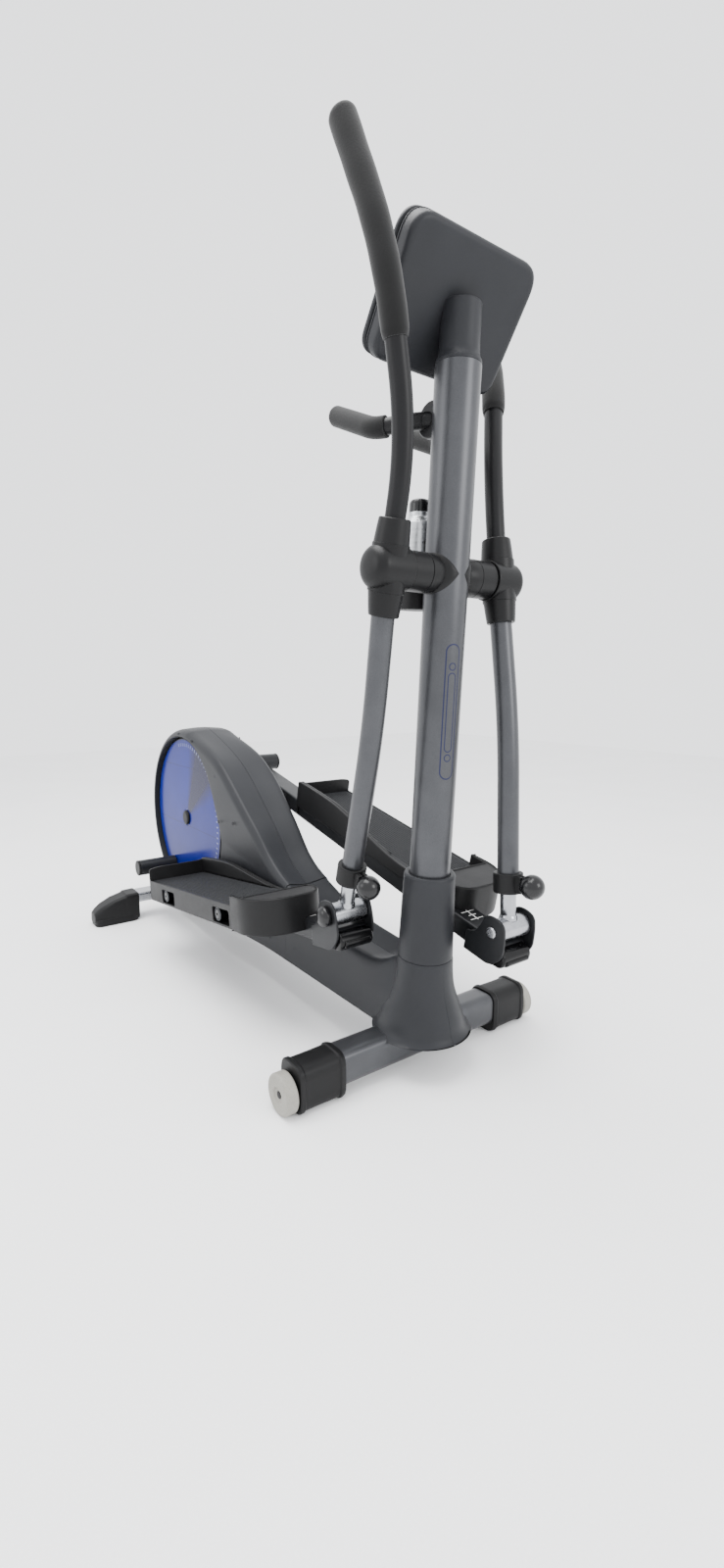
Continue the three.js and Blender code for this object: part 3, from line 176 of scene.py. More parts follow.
# Matt white floor paper, with a faint mottle.
paper = surface("floor_paper", "#f3f3f3", "#f8f8f8", (0.85, 0.95), 3.0, 0.02, 400.0)
half = 6.0
floor = bpy.data.meshes.new("floor")
floor.from_pydata([(-half, -half, 0), (half, -half, 0), (half, half, 0), (-half, half, 0)], [],
                  [(0, 1, 2, 3)])
floor.materials.append(paper)
floor = bpy.data.objects.new("floor", floor)
bpy.context.scene.collection.objects.link(floor)
floor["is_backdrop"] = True


# ---------------------------------------------------------------- welded base frame and the drive on it
# A box-steel spine, two bearing cheeks and the mast post, powder coated grey. The belt drive, flywheel
# and magnet brake on it are bare steel, glass-filled nylon and ribbed rubber, all behind the casings.
# Powder coat: a fine orange-peel skin with metal flake, so the highlight is broad and slightly grainy.
powder_coat = surface("powder_coat_grey", "#36373a", "#404144", (0.30, 0.42), 1.6, 0.05, 45.0, 0.62,
                      Coat_Weight=0.15, Coat_Roughness=0.3)
# Drawn steel, bright with faint lines along the draw.
bright_steel = surface("drawn_steel_bright", "#96989c", "#abacb0", (0.2, 0.32), 1.2, 0.008, 20.0, 1.0)
# Zinc-plated steel: duller and greyer, with the faint bloom of the plating.
zinc_steel = surface("zinc_plated_steel", "#47494c", "#56585c", (0.42, 0.55), 1.0, 0.02, 12.0, 1.0)
# Black nylon with a spark-eroded mould grain.
black_nylon = surface("black_nylon_moulded", "#070708", "#0d0d0e", (0.42, 0.56), 1.1, 0.06, 80.0)
# Ribbed black rubber.
belt_rubber = surface("belt_rubber", "#131313", "#1c1c1c", (0.7, 0.85), 2.0, 0.2, 30.0)


def dress(node_name, material):
    """Gives a CAD node that keeps its own shape a finish."""
    slots = frame["nodes"][node_name].data.materials
    slots.clear()
    slots.append(material)


sides = (("right", -1), ("left", 1))
dress("base_frame", powder_coat)
for name in ("flywheel", "flywheel_axle", "magnet_brake", "crank_bearing_right", "crank_bearing_left"):
    dress(name, bright_steel)
dress("drive_pulley", black_nylon)
dress("brake_servo", black_nylon)
dress("drive_belt", belt_rubber)


# ---------------------------------------------------------------- stabilizers, feet and transport wheels
# Two cross tubes carry the machine: a flat bright one at the rear with long black feet, and a deeper
# grey one in front whose black ends hold plain grey wheels. Moulded ends push on over the tube.
def strip(grid, rings=False, caps=(False, False)):
    """Quads between neighbouring points of a rows x columns grid, as one part of a piece.

    Each row closes on itself. With rings the last row joins the first; caps close the first and last row."""
    rows, cols = grid.shape[:2]
    r = np.arange(rows if rings else rows - 1)[:, None]
    c = np.arange(cols)[None, :]
    r2, c2 = (r + 1) % rows, (c + 1) % cols
    corners = [r * cols + c, r2 * cols + c, r2 * cols + c2, r * cols + c2]
    faces = np.stack(corners, axis=-1).reshape(-1, 4).tolist()
    if caps[0]:
        faces.append(list(range(cols)))
    if caps[1]:
        faces.append(list(range((rows - 1) * cols, rows * cols)))
    return grid.reshape(-1, 3), faces


def piece(name, parts, material, body, slot, stands_for=(), sharp=32.0, wall=0.0):
    """Makes one object from parts in millimetres, welded, with its faces outwards, and sets it on its body.

    Edges sharper than sharp degrees stay crisp. A wall thickens the surface inwards."""
    points, faces, start = [], [], 0
    for part_points, part_faces in parts:
        points.append(part_points)
        faces += [[i + start for i in face] for face in part_faces]
        start += len(part_points)
    mesh = bpy.data.meshes.new(name)
    mesh.from_pydata((np.concatenate(points) / 1000).tolist(), [], faces)
    work = bmesh.new()
    work.from_mesh(mesh)
    bmesh.ops.remove_doubles(work, verts=work.verts, dist=2e-6)
    bmesh.ops.recalc_face_normals(work, faces=work.faces)
    work.to_mesh(mesh)
    work.free()
    mesh.polygons.foreach_set("use_smooth", [True] * len(mesh.polygons))
    mesh.set_sharp_from_angle(angle=np.radians(sharp))
    mesh.materials.append(material)
    obj = bpy.data.objects.new(name, mesh)
    bpy.context.scene.collection.objects.link(obj)
    if wall:
        solid = obj.modifiers.new("wall", "SOLIDIFY")
        solid.thickness = wall / 1000
        solid.offset = -1.0
    even = obj.modifiers.new("even_shading", "WEIGHTED_NORMAL")
    even.keep_sharp = True
    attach(obj, body)
    if stands_for:
        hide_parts(*([stands_for] if isinstance(stands_for, str) else stands_for))
    return obj


def rounded(points, radius, steps=5, closed=True):
    """A polyline with each corner turned into an arc-like curve that starts radius before it.

    radius is one number, or one for each corner. The curve is the quadratic one through the corner."""
    p = np.array(points, float)
    radius = np.broadcast_to(radius, len(p)).astype(float)
    before, after = np.roll(p, 1, axis=0), np.roll(p, -1, axis=0)
    to_before, to_after = before - p, after - p
    lb, la = np.linalg.norm(to_before, axis=1), np.linalg.norm(to_after, axis=1)
    r = np.minimum(radius, 0.49 * np.minimum(lb, la))
    if not closed:
        r[[0, -1]] = 0
    a = p + to_before * (r / lb)[:, None]
    b = p + to_after * (r / la)[:, None]
    t = np.linspace(0, 1, steps + 1)[None, :, None]
    curve = (1 - t) ** 2 * a[:, None] + 2 * t * (1 - t) * p[:, None] + t ** 2 * b[:, None]
    out = [curve[i] if r[i] > 1e-6 else p[i:i + 1] for i in range(len(p))]
    return np.concatenate(out)


def inset(loop, depth):
    """A closed outline moved inwards by a small depth, each point along its own bisector."""
    d = np.roll(loop, -1, axis=0) - loop
    d = d / np.maximum(np.linalg.norm(d, axis=1), 1e-9)[:, None]
    n = np.column_stack([-d[:, 1], d[:, 0]])
    area = np.sum(loop[:, 0] * np.roll(loop[:, 1], -1) - loop[:, 1] * np.roll(loop[:, 0], -1))
    n = n if area > 0 else -n
    m = n + np.roll(n, 1, axis=0)
    m = m / np.maximum(np.sum(m * m, axis=1) / 2, 0.4)[:, None]
    return loop + m * depth


class Axes:
    """Where a piece's own x, y and z axes and origin lie in the machine's frame, in millimetres."""

    def __init__(self, origin=(0, 0, 0), x=(1, 0, 0), y=(0, 1, 0), z=(0, 0, 1)):
        self.origin = np.array(origin, float)
        self.turn = np.array([x, y, z], float)

    def put(self, x, y, z):
        """Points given in the piece's own axes, as points of the machine."""
        own = np.stack(np.broadcast_arrays(x, y, z), axis=-1).astype(float)
        return own @ self.turn + self.origin


def prism(loops, lo, hi, edge, put):
    """A plate: the first loop is its outline and the rest are holes, from lo to hi, all edges rounded.

    The wall follows a quarter circle of radius edge at both faces. put(a, b, c) places the points."""
    t = np.linspace(0, np.pi / 2, 4)
    draw_in = edge * (1 - np.sin(t))
    climb = edge * (1 - np.cos(t))
    depth = np.concatenate([[edge * 1.4], draw_in, draw_in[::-1], [edge * 1.4]])
    level = np.concatenate([[lo], lo + climb, (hi - climb)[::-1], [hi]])
    parts, rims = [], []
    for k, loop in enumerate(loops):
        sign = 1 if k == 0 else -1
        rows = np.stack([inset(loop, sign * d) for d in depth])
        grid = put(rows[..., 0], rows[..., 1], level[:, None])
        parts.append(strip(grid))
        rims.append(rows[0])
    fill = tessellate_polygon([[(x, y, 0.0) for x, y in rim] for rim in rims])
    flat = np.concatenate(rims)
    for height in (lo, hi):
        parts.append((put(flat[:, 0], flat[:, 1], height), [list(face) for face in fill]))
    return parts


def turned(profile, put, steps=96):
    """A turned part: its profile holds [radius, along] pairs, carried round the axis.

    A point is (radius cos a, radius sin a, along), placed by put."""
    p = np.array(profile, float)
    a = np.arange(steps) * 2 * np.pi / steps
    ends = (p[0, 0] > 1e-6, p[-1, 0] > 1e-6)
    closed = np.allclose(p[0], p[-1])
    p = p[:-1] if closed else p
    grid = put(p[:, :1] * np.cos(a), p[:, :1] * np.sin(a), p[:, 1:2])
    return strip(grid, rings=closed, caps=(False, False) if closed else ends)


def box_loop(width, height, corner, x=0.0, y=0.0):
    """A rounded rectangle about (x, y)."""
    w, h = width / 2, height / 2
    return rounded([(x + w, y + h), (x - w, y + h), (x - w, y - h), (x + w, y - h)], corner, 6)


def hoop(profile, put, steps=96):
    """A turned part whose profile closes on itself, such as a sleeve or a tyre."""
    return turned(np.vstack([profile, profile[:1]]), put, steps)


def across(side=1, about_x=0.0, about_z=0.0):
    """Places (x, z, along) about a line across the machine, with along measured outwards from its middle."""
    return lambda x, z, y: np.stack(np.broadcast_arrays(about_x + x, side * y, about_z + z), axis=-1) + shift


def sideways(put):
    """The same placing, for a shape whose third number runs along the second axis."""
    return lambda a, c, b: put(a, b, c)


def endways(put):
    """The same placing, for a shape whose third number runs along the first axis."""
    return lambda b, c, a: put(a, b, c)


def loft(sections, put):
    """A closed body through sections given as (loop, along)."""
    grid = np.stack([put(loop[:, 0], loop[:, 1], along) for loop, along in sections])
    return strip(grid, caps=(True, True))


# The wheels: unpainted polypropylene, plain and slightly waxy.
wheel_plastic = surface("polypropylene_grey", "#7f7d76", "#8f8d86", (0.5, 0.62), 2.2, 0.05, 70.0)
rear_x = -127.0
front_x = 1017.0
wheel_radius = 37.5
foot_end = 328.0
piece("rear_tube", prism([box_loop(64, 30, 8, rear_x, 71)], -205, 205, 0.8, across()), bright_steel, "frame",
      "steel", "rear_stabilizer")
piece("front_tube", prism([box_loop(64, 66, 20, front_x, 53)], -232, 232, 0.8, across()), powder_coat,
      "frame", "grey_paint", "front_stabilizer")
for side, y in sides:
    foot = []
    for along, width, top, corner in (
        (196, 70, 87, 10), (197.5, 72, 89, 11), (232, 72, 88, 12), (235, 69, 85, 12), (240, 69, 83, 12),
        (272, 68, 75, 13), (303, 66, 61, 16), (320, 60, 50, 18), (329, 50, 41, 18), (331, 36, 32, 12),
    ):
        bottom = 6.0 if along < foot_end else 10.0
        foot.append((box_loop(width, top - bottom, corner, rear_x, (top + bottom) / 2), along))
    sole = prism([box_loop(72, 132, 22, rear_x, 263)], 0, 22, 3.0, sideways(across(y)))
    piece(f"rear_foot_{side}", [loft(foot, across(y))] + sole, black_nylon, "frame", "black_plastic",
          f"rear_end_cap_{side}")
    hood = []
    for along, grow in ((192, -1), (193, 1), (199, 2.5), (203, 2.5), (206, 0.5), (240, 0), (276, 0),
                        (279, 2), (286, 2), (288, 0)):
        hood.append((box_loop(68 + 2 * grow, 86 + 2 * grow, 24, front_x, 45), along))
    wheel_axis = across(y, front_x, wheel_radius)
    pin = turned([(0, 280), (6, 280), (6, 312.5), (0, 312.5)], wheel_axis, 32)
    piece(f"front_hood_{side}", [loft(hood, across(y)), pin], black_nylon, "frame", "black_plastic",
          f"front_end_cap_{side}")
    tread = rounded([(6.6, 291), (34, 291), (wheel_radius, 293.5), (wheel_radius, 312.5), (34, 315),
                     (15, 315), (13, 312), (6.6, 312)], 2.0, 4)
    piece(f"wheel_{side}", [hoop(tread, wheel_axis)], wheel_plastic, f"transport_wheel_{side}", "wheel",
          f"transport_wheel_{side}")


# ---------------------------------------------------------------- crank discs and axle
# Each crank is a polished blue disc, 492 across, set into the casing; it hides the steel crank arm.
# The disc is bolted to the axle behind a black hub cap.
crank_z = 332.0


def band(tree, value, middle, halfwidth, soft):
    """1 where a value lies within halfwidth of middle, fading to 0 over soft."""
    off = add(tree, "Math", {0: value, 1: middle}, operation="SUBTRACT")
    off = add(tree, "Math", {0: off}, operation="ABSOLUTE")
    fade = {"Value": off, "From Min": halfwidth, "From Max": halfwidth + soft, "To Min": 1.0, "To Max": 0.0}
    return add(tree, "MapRange", fade)


def disc_finish():
    """Polished tinted acrylic: a gloss over blue, with a grey-brown wedge of painted reflection, two scribed
    lines and tick marks.

    All marks are worked out from the radius and angle about the crank axis, in millimetres and degrees."""
    material = bpy.data.materials.new("blue_acrylic_polished")
    material.use_nodes = True
    tree = material.node_tree
    shader = tree.nodes["Principled BSDF"]
    shader.inputs["Roughness"].default_value = 0.22
    # Acrylic has 1.49; a lower value keeps the sky's reflection from washing out the tint.
    shader.inputs["IOR"].default_value = 1.18
    shader.inputs["Coat Weight"].default_value = 0.03
    shader.inputs["Coat Roughness"].default_value = 0.04
    where = add(tree, "TexCoord").outputs["Object"]
    centre = (-shift[0], 0.0, -crank_z)
    local = add(tree, "Mapping", {"Vector": where, "Scale": (1000, 1000, 1000), "Location": centre})
    axis = add(tree, "SeparateXYZ", {0: local})
    x, z = axis.outputs["X"], axis.outputs["Z"]
    flat = add(tree, "VectorMath", {0: local, 1: (1, 0, 1)}, operation="MULTIPLY")
    radius = add(tree, "VectorMath", {0: flat}, operation="LENGTH")
    angle = add(tree, "Math", {0: z, 1: x}, operation="ARCTAN2")
    angle = add(tree, "Math", {0: angle}, operation="DEGREES")

    # The tint is cloudy.
    cloud = add(tree, "TexNoise", {"Vector": where, "Scale": 9.0, "Detail": 3.0})
    share = add(tree, "MapRange", {"Value": cloud, "From Min": 0.3, "From Max": 0.7})
    colour = over(tree, "#101b66", "#162272", share)
    # Painted shade: the colour darkens towards the foot of the disc.
    height = add(tree, "MapRange", {"Value": z, "From Min": -240.0, "From Max": 60.0})
    colour = over(tree, "#0d1663", colour, height)
    # A grey-brown wedge from the hub up towards the front: a painted reflection of the lights in the
    # polished disc.
    painted_reflection_wedge = band(tree, angle, 52.0, 14.0, 16.0)
    colour = over(tree, colour, "#232229", painted_reflection_wedge, band(tree, radius, 130.0, 95.0, 26.0), 0.85)
    for level in (158.0, -25.0):
        line = band(tree, z, level, 0.7, 0.8)
        colour = over(tree, colour, "#080c2c", line, band(tree, radius, 110.0, 118.0, 2.0), 0.55)
    bar = band(tree, x, -6.0, 88.0, 10.0)
    colour = over(tree, colour, "#070f55", bar, band(tree, z, -196.0, 22.0, 7.0))
    # A tick every 4 degrees, round the upper front of the disc.
    turn = add(tree, "Math", {0: angle, 1: 360.0}, operation="ADD")
    turn = add(tree, "Math", {0: turn, 1: 4.0}, operation="MODULO")
    tick = band(tree, turn, 2.0, 0.35, 0.25)
    length, sector = band(tree, radius, 226.0, 4.5, 0.6), band(tree, angle, 40.0, 62.0, 1.0)
    colour = over(tree, colour, "#7c83a0", tick, length, sector, 0.75)
    # Painted shade: the outer edge of the disc turns near black, for the shade in the gap between disc and
    # casing.
    rim = add(tree, "MapRange", {"Value": radius, "From Min": 239.0, "From Max": 243.0})
    swirl = add(tree, "TexNoise", {"Vector": where, "Scale": 18.0, "Detail": 1.0})
    bump = add(tree, "Bump", {"Height": swirl, "Strength": 0.25, "Distance": 0.0006})
    feed(tree, shader, {"Base Color": over(tree, colour, "#0a0c16", rim), "Normal": bump})
    return material


# Acrylic: clear blue with a soft gloss that stays dark, so the tint reads as deep.
blue_acrylic = disc_finish()
for side, y in sides:
    face = rounded([(15.6, 56), (246, 56), (246, 64), (27, 64), (24, 62.2), (15.6, 62.2)],
                   [0.1, 1.0, 1.6, 1.0, 0.6, 0.1], 4)
    piece(f"disc_{side}", [hoop(face, across(y, 0, crank_z), 160)], blue_acrylic, "cranks", "blue_disc",
          f"crank_disc_{side}")
cap = rounded([(0, 71.6), (17, 71.6), (22, 68.5), (22, 64.3), (15, 64.3)], [0, 3, 2.5, 0.2, 0], 5,
              closed=False)
whole = np.vstack([cap * [1, 1], cap[::-1] * [1, -1]])
piece("crank_shaft", [turned(whole, across(1, 0, crank_z), 64)], black_nylon, "cranks", "steel",
      "crank_axle")


# ---------------------------------------------------------------- rear casings
# Two dark grey ABS shells, moulded as mirror halves, meet on the mid-plane. Each wraps its crank disc in
# a deep ring, has a rolled crown behind, and runs forward as a hollow-backed slope between two ridges.
# ABS: dark grey, fine spark-eroded grain, so the sheen is soft and slightly blue towards the sky.
abs_grey = surface("abs_dark_grey_moulded", "#1b1c1f", "#222326", (0.40, 0.52), 0.9, 0.05, 110.0)
casing_bottom = 78.0
seam_x = 608.0
opening = 250.0
recess = 22.0
half_depth = 78.0
shell_wall = 3.0
ridge_share = 0.80
crown_rise = 19.0
ridge_rise = 23.0
slope = np.array([[250, 511], [421, 378], [517, 290], [608, 243], [760, 195], [940, 178]], float)


def smooth_path(points, count):
    """A Catmull-Rom curve through points, resampled evenly along its length."""
    p = np.array(points, float)
    ends = np.vstack([2 * p[0] - p[1], p, 2 * p[-1] - p[-2]])
    t = np.linspace(0, 1, 24, endpoint=False)[:, None]
    a, b, c, d = ends[:-3], ends[1:-2], ends[2:-1], ends[3:]
    runs = [0.5 * (2 * b[i] + (c[i] - a[i]) * t + (2 * a[i] - 5 * b[i] + 4 * c[i] - d[i]) * t ** 2
                   + (3 * b[i] - a[i] - 3 * c[i] + d[i]) * t ** 3) for i in range(len(p) - 1)]
    fine = np.vstack([*runs, p[-1:]])
    length = np.concatenate([[0], np.cumsum(np.linalg.norm(np.diff(fine, axis=0), axis=1))])
    s = np.linspace(0, length[-1], count)
    return np.column_stack([np.interp(s, length, fine[:, k]) for k in range(fine.shape[1])])


def normals_2d(line):
    """Unit normals to the left of a line of points."""
    d = np.gradient(line, axis=0)
    d = d / np.linalg.norm(d, axis=1)[:, None]
    return np.column_stack([-d[:, 1], d[:, 0]])


def half_width(x, inner=0.0):
    """Half the casing's width: full beside the cranks, eased in by 14 between x 300 and 560."""
    t = np.clip((x - 300.0) / 260.0, 0, 1)
    return half_depth - 14.0 * t * t * (3 - 2 * t) - inner


def casing_half(side, wall):
    """One shell: a grid whose rows go round the crank and whose columns follow the wall's section.

    A row's outer point lies on the side outline. The section leaves the disc opening, crosses the flat
    side, rolls over the crown and ends on the mid-plane. On the slope the crown has a ridge at 0.8 of
    the half width and is hollow between the ridges."""
    radius = 256.0 - wall
    low_angle = np.arctan2(casing_bottom + 6 - crank_z, -63.5)
    turn = np.linspace(low_angle + 2 * np.pi, np.radians(80), 110)
    arc = np.column_stack([radius * np.cos(turn), crank_z + radius * np.sin(turn)])
    run = smooth_path(np.vstack([arc[-4:-3], arc[-1:], slope[:4] - [0, wall], slope[4:5]]), 400)
    run = run[(run[:, 0] > arc[-1, 0] + 2) & (run[:, 0] <= seam_x)][::3]
    edge = np.vstack([arc, run, [[seam_x, np.interp(seam_x, run[:, 0], run[:, 1])]]])
    out = normals_2d(edge)
    front = np.linspace(edge[-1, 1] - 3, casing_bottom, 14)
    front = np.column_stack([np.full(14, seam_x), front])
    base = np.linspace(seam_x - 12, edge[0, 0] + 10, 40)
    base = np.column_stack([base, np.full(40, casing_bottom)])
    rim = np.vstack([edge, front, base])
    lift = np.vstack([out, np.zeros((54, 2))])
    bearing = np.arctan2(rim[:, 1] - crank_z, rim[:, 0])
    hole = opening + (3.0 if wall else 0.0)
    ring = np.column_stack([hole * np.cos(bearing), crank_z + hole * np.sin(bearing)])
    half = half_width(rim[:, 0], wall)
    columns = []

    def column(flat, y, rise=0.0):
        """Adds a column at the distance y from the mid-plane, raised by rise along the outline's normal."""
        p = flat + lift * np.broadcast_to(rise, len(rim))[:, None]
        x = np.minimum(p[:, 0], seam_x - 0.15 - wall)
        z = np.maximum(p[:, 1], casing_bottom + wall)
        columns.append(np.stack([x, np.broadcast_to(side * y, x.shape), z], axis=-1))

    column(ring, half_depth - recess)
    for drop, back in ((2.0, 0.0), (0.6, 0.4), (0.0, 2.0)):
        grow = 1 + back / hole
        near = np.column_stack([ring[:, 0] * grow, crank_z + (ring[:, 1] - crank_z) * grow])
        column(near, half - drop)
    for t in (0.15, 0.4, 0.7, 0.93):
        column(ring + (rim - ring) * t, half)
    back = np.clip((rim[:, 0] - 60.0) / 190.0, 0, 1)
    back = back * back * (3 - 2 * back)
    ridge = half * ridge_share
    roll = half * 0.42
    for t in np.linspace(0, np.pi / 2, 9):
        round_y = half - (half - ridge) * (1 - np.cos(t))
        round_rise = ridge_rise * np.sin(t)
        full_y = half - roll * (1 - np.cos(t))
        full_rise = crown_rise * np.sin(t)
        column(rim, full_y * (1 - back) + round_y * back, full_rise * (1 - back) + round_rise * back)
    for t in (0.06, 0.15, 0.3, 0.5, 0.75, 0.95):
        start_y = (half - roll) * (1 - back) + ridge * back
        crown = crown_rise + 3.0 * np.sin(t * np.pi / 2)
        dish = ridge_rise - 6.5 * np.sin(t * np.pi / 2) ** 1.3
        column(rim, start_y * (1 - t), crown * (1 - back) + dish * back)
    column(rim, 0.9, 22.0 * (1 - back) + 16.5 * back)
    column(rim, 0.15, 21.2 * (1 - back) + 15.7 * back)
    return np.stack(columns, axis=1)


def screw(x, z, seat, y):
    """A recessed pan-head screw on a side wall that lies at the distance seat from the mid-plane."""
    profile = [(0, seat - 1), (4.6, seat - 1), (4.6, seat + 0.25), (3.4, seat + 0.25), (2.8, seat - 0.7),
               (0, seat - 0.7)]
    return turned(profile, across(y, x, z), 20)


for side, y in sides:
    skin, lining = casing_half(y, 0.0), casing_half(y, shell_wall)
    shell = np.concatenate([skin, lining[:, ::-1]], axis=1) + shift
    parts = [strip(shell, rings=True)]
    # Recessed self-tapping screws hold the halves together round the disc and along the lower edge.
    for x, z in ((-9, 591), (90, 577), (250, 490), (266, 365), (354, 375), (531, 112)):
        parts.append(screw(x, z, half_width(x), y))
    piece(f"rear_shell_{side}", parts, abs_grey, "frame", "casing_plastic", f"rear_casing_{side}")


# ---------------------------------------------------------------- front casings and boot
# The front pair of shells covers the rail and swells into a round boot about the mast foot. Both are
# ABS like the rear pair; a vertical butt seam shows down the front of the boot.
lean = 0.055
mast_foot_x = 1036.7 - 100 * np.tan(lean)
channel_end = 1016.0
mast_axes = Axes(shift + [mast_foot_x, 0, 0], x=(np.cos(lean), 0, -np.sin(lean)),
                 z=(np.sin(lean), 0, np.cos(lean)))


def along_mast(z):
    """Distance along the leaning mast to the height z."""
    return z / np.cos(lean)


def channel_half(side, wall):
    """The low hollow box in front of the seam: sections across, carried along X to inside the boot.

    A section rises up the flat side and rolls over a ridge to the hollow top, as on the rear shells.
    Towards the boot the top sweeps up into it and the sides draw in to its skin."""
    x = np.linspace(seam_x + 0.15, channel_end, 90)
    run = smooth_path(np.vstack([slope, [[1031, 178]]]), 600)
    top = np.interp(x, run[:, 0], run[:, 1]) + 22.0 * np.clip((x - 930) / 70, 0, 1) ** 2
    half = half_width(x, wall)
    ridge = half * ridge_share
    rise, dish = 22.0 - wall, 15.5 - wall
    flat_side = top - 30 - casing_bottom
    cols = [(half, casing_bottom + flat_side * t) for t in np.linspace(0, 1, 8)]
    cols.append((half, top - 3))
    for t in np.linspace(0.1, np.pi / 2, 8):
        cols.append((half - (half - ridge) * (1 - np.cos(t)), top + rise * np.sin(t)))
    for t in (0.1, 0.3, 0.6, 0.9):
        cols.append((ridge * (1 - t), top + rise + (dish - rise) * np.sin(t * np.pi / 2) ** 1.3))
    cols.append((np.full_like(x, 0.9), top + dish))
    cols.append((np.full_like(x, 0.15), top + dish - 0.8))
    near = np.clip((x - 860) / 156, 0, 1) ** 2
    grid = []
    for wide, z in cols:
        ahead = mast_foot_x + z * np.tan(lean) - channel_end
        skin = np.sqrt(np.maximum((boot_radius(z) - wall) ** 2 - ahead ** 2, 400)) - 1
        grid.append(np.stack([x, side * wide * (1 - near * np.clip(1 - skin / half, 0, 1)), z], axis=-1))
    return np.stack(grid, axis=1)


def boot_radius(z):
    """The boot's outer radius at a height: flared towards the floor."""
    key = np.array([[78, 98], [92, 86], [114, 79], [144, 67.5], [170, 59.5], [200, 55.5], [228.7, 54]])
    run = smooth_path(key, 200)
    return np.interp(z, run[:, 0], run[:, 1])


def boot_half(side, wall):
    """Half a turned skirt on the mast's axis, its radius against height as above."""
    z = np.linspace(casing_bottom, 228.6, 40)
    r = boot_radius(z) - wall
    r[-1] -= 0.8
    a = np.linspace(0.003, np.pi - 0.003, 61)
    level = along_mast(z)[:, None]
    grid = mast_axes.put(r[:, None] * np.cos(a), side * r[:, None] * np.sin(a), level)
    grid[..., 2] = np.maximum(grid[..., 2], casing_bottom)
    return grid


def two_skins(outer, inner):
    """A closed shell from an outer and an inner sheet with the same rows and columns."""
    around = np.concatenate([outer, inner[:, ::-1]], axis=1)
    return strip(around, caps=(True, True))


for side, y in sides:
    parts = [two_skins(channel_half(y, 0.0) + shift, channel_half(y, shell_wall) + shift),
             two_skins(boot_half(y, 0.0), boot_half(y, shell_wall)),
             screw(651, 122, 64.0, y), screw(968, 120, 63.0, y)]
    piece(f"front_shell_{side}", parts, abs_grey, "frame", "casing_plastic", f"front_casing_{side}")


# ---------------------------------------------------------------- mast and its collar
# A round steel tube, 77 across, powder coated, leans forward out of the boot. The collar is a tapered
# ABS sleeve with a rolled top lip. A plain outlined badge runs down the tube's front.
tube_radius = 38.5


def mast_finish():
    """The frame's powder coat with a printed badge: two nested outlines and two rings, in blue ink.

    The print is worked out on the unrolled tube, from the height along it and the arc from its middle."""
    material = powder_coat.copy()
    material.name = "powder_coat_grey_printed"
    tree = material.node_tree
    shader = tree.nodes["Principled BSDF"]
    plain = shader.inputs["Base Color"].links[0].from_socket
    where = add(tree, "TexCoord").outputs["Object"]
    local = add(tree, "VectorMath", {0: where, 1: tuple(-mast_axes.origin / 1000)}, operation="ADD")
    front, aside, level = (add(tree, "VectorMath", {0: local, 1: tuple(1000 * axis)},
                               operation="DOT_PRODUCT")
                           for axis in mast_axes.turn)
    arc = add(tree, "Math", {0: aside, 1: front}, operation="ARCTAN2")
    arc = add(tree, "Math", {0: arc, 1: tube_radius, 2: 0.22 * tube_radius}, operation="MULTIPLY_ADD")
    ink = None
    # Each outline lies at a distance from an upright stroke: its middle, half height, distance, half line.
    for middle, tall, corner, line in ((700, 105, 13, 0.9), (700, 62, 7, 0.7), (620, 0, 6, 0.7),
                                       (780, 0, 6, 0.7)):
        off = level
        for step, number in (("SUBTRACT", middle), ("ABSOLUTE", 0), ("SUBTRACT", tall), ("MAXIMUM", 0)):
            off = add(tree, "Math", {0: off, 1: number}, operation=step)
        reach = add(tree, "CombineXYZ", {0: off, 1: arc})
        reach = add(tree, "VectorMath", {0: reach}, operation="LENGTH")
        mark = band(tree, reach, corner, line, 0.5)
        ink = add(tree, "Math", {0: ink, 1: mark}, operation="MAXIMUM") if ink else mark
    feed(tree, shader, {"Base Color": over(tree, plain, "#0e1238", ink, 0.95)})
    return material


printed_coat = mast_finish()
tube_wall = 3.0
tube_low, tube_high = along_mast(232), along_mast(1262)
mast_profile = rounded([(tube_radius - tube_wall, tube_low), (tube_radius, tube_low),
                        (tube_radius, tube_high), (tube_radius - tube_wall, tube_high)], 0.6, 3)
piece("mast_tube", [hoop(mast_profile, mast_axes.put, 128)], printed_coat, "frame", "grey_paint", "mast")
top, low = along_mast(396), along_mast(229.2)
sleeve = rounded([(50, low), (53.2, low), (51.5, low + 60), (49.2, top - 14), (49.6, top - 5), (46.5, top),
                  (39.2, top - 1.5), (39.2, top - 9), (46, top - 14), (48.5, low + 60)],
                 [0.6, 1.2, 40, 6, 5, 5, 1, 0.5, 3, 30], 6)
piece("collar", [hoop(sleeve, mast_axes.put, 128)], abs_grey, "frame", "casing_plastic", "mast_collar")


# ---------------------------------------------------------------- cross axle and its covers
# A steel axle through the mast carries both handles. Black two-part covers sleeve it on each side and
# end against the mast in a leaf-shaped saddle.
pivot = place("handle_right_swing") * [1, 0, 1]
pivot_x = pivot[0] - shift[0]
axle = [(0, -156), (11.4, -156), (12, -155.4), (12, 155.4), (11.4, 156), (0, 156)]
piece("cross_axle", [turned(axle, across(1, pivot_x, pivot[2]), 48)], bright_steel, "frame", "steel",
      "pivot_axle")
# Black nylon from a finer mould grain: a soft satin sheen on the covers and hubs.
black_satin = surface("black_nylon_satin", "#070708", "#0c0c0d", (0.34, 0.46), 0.8, 0.035, 90.0)
pivot_level = along_mast(pivot[2])


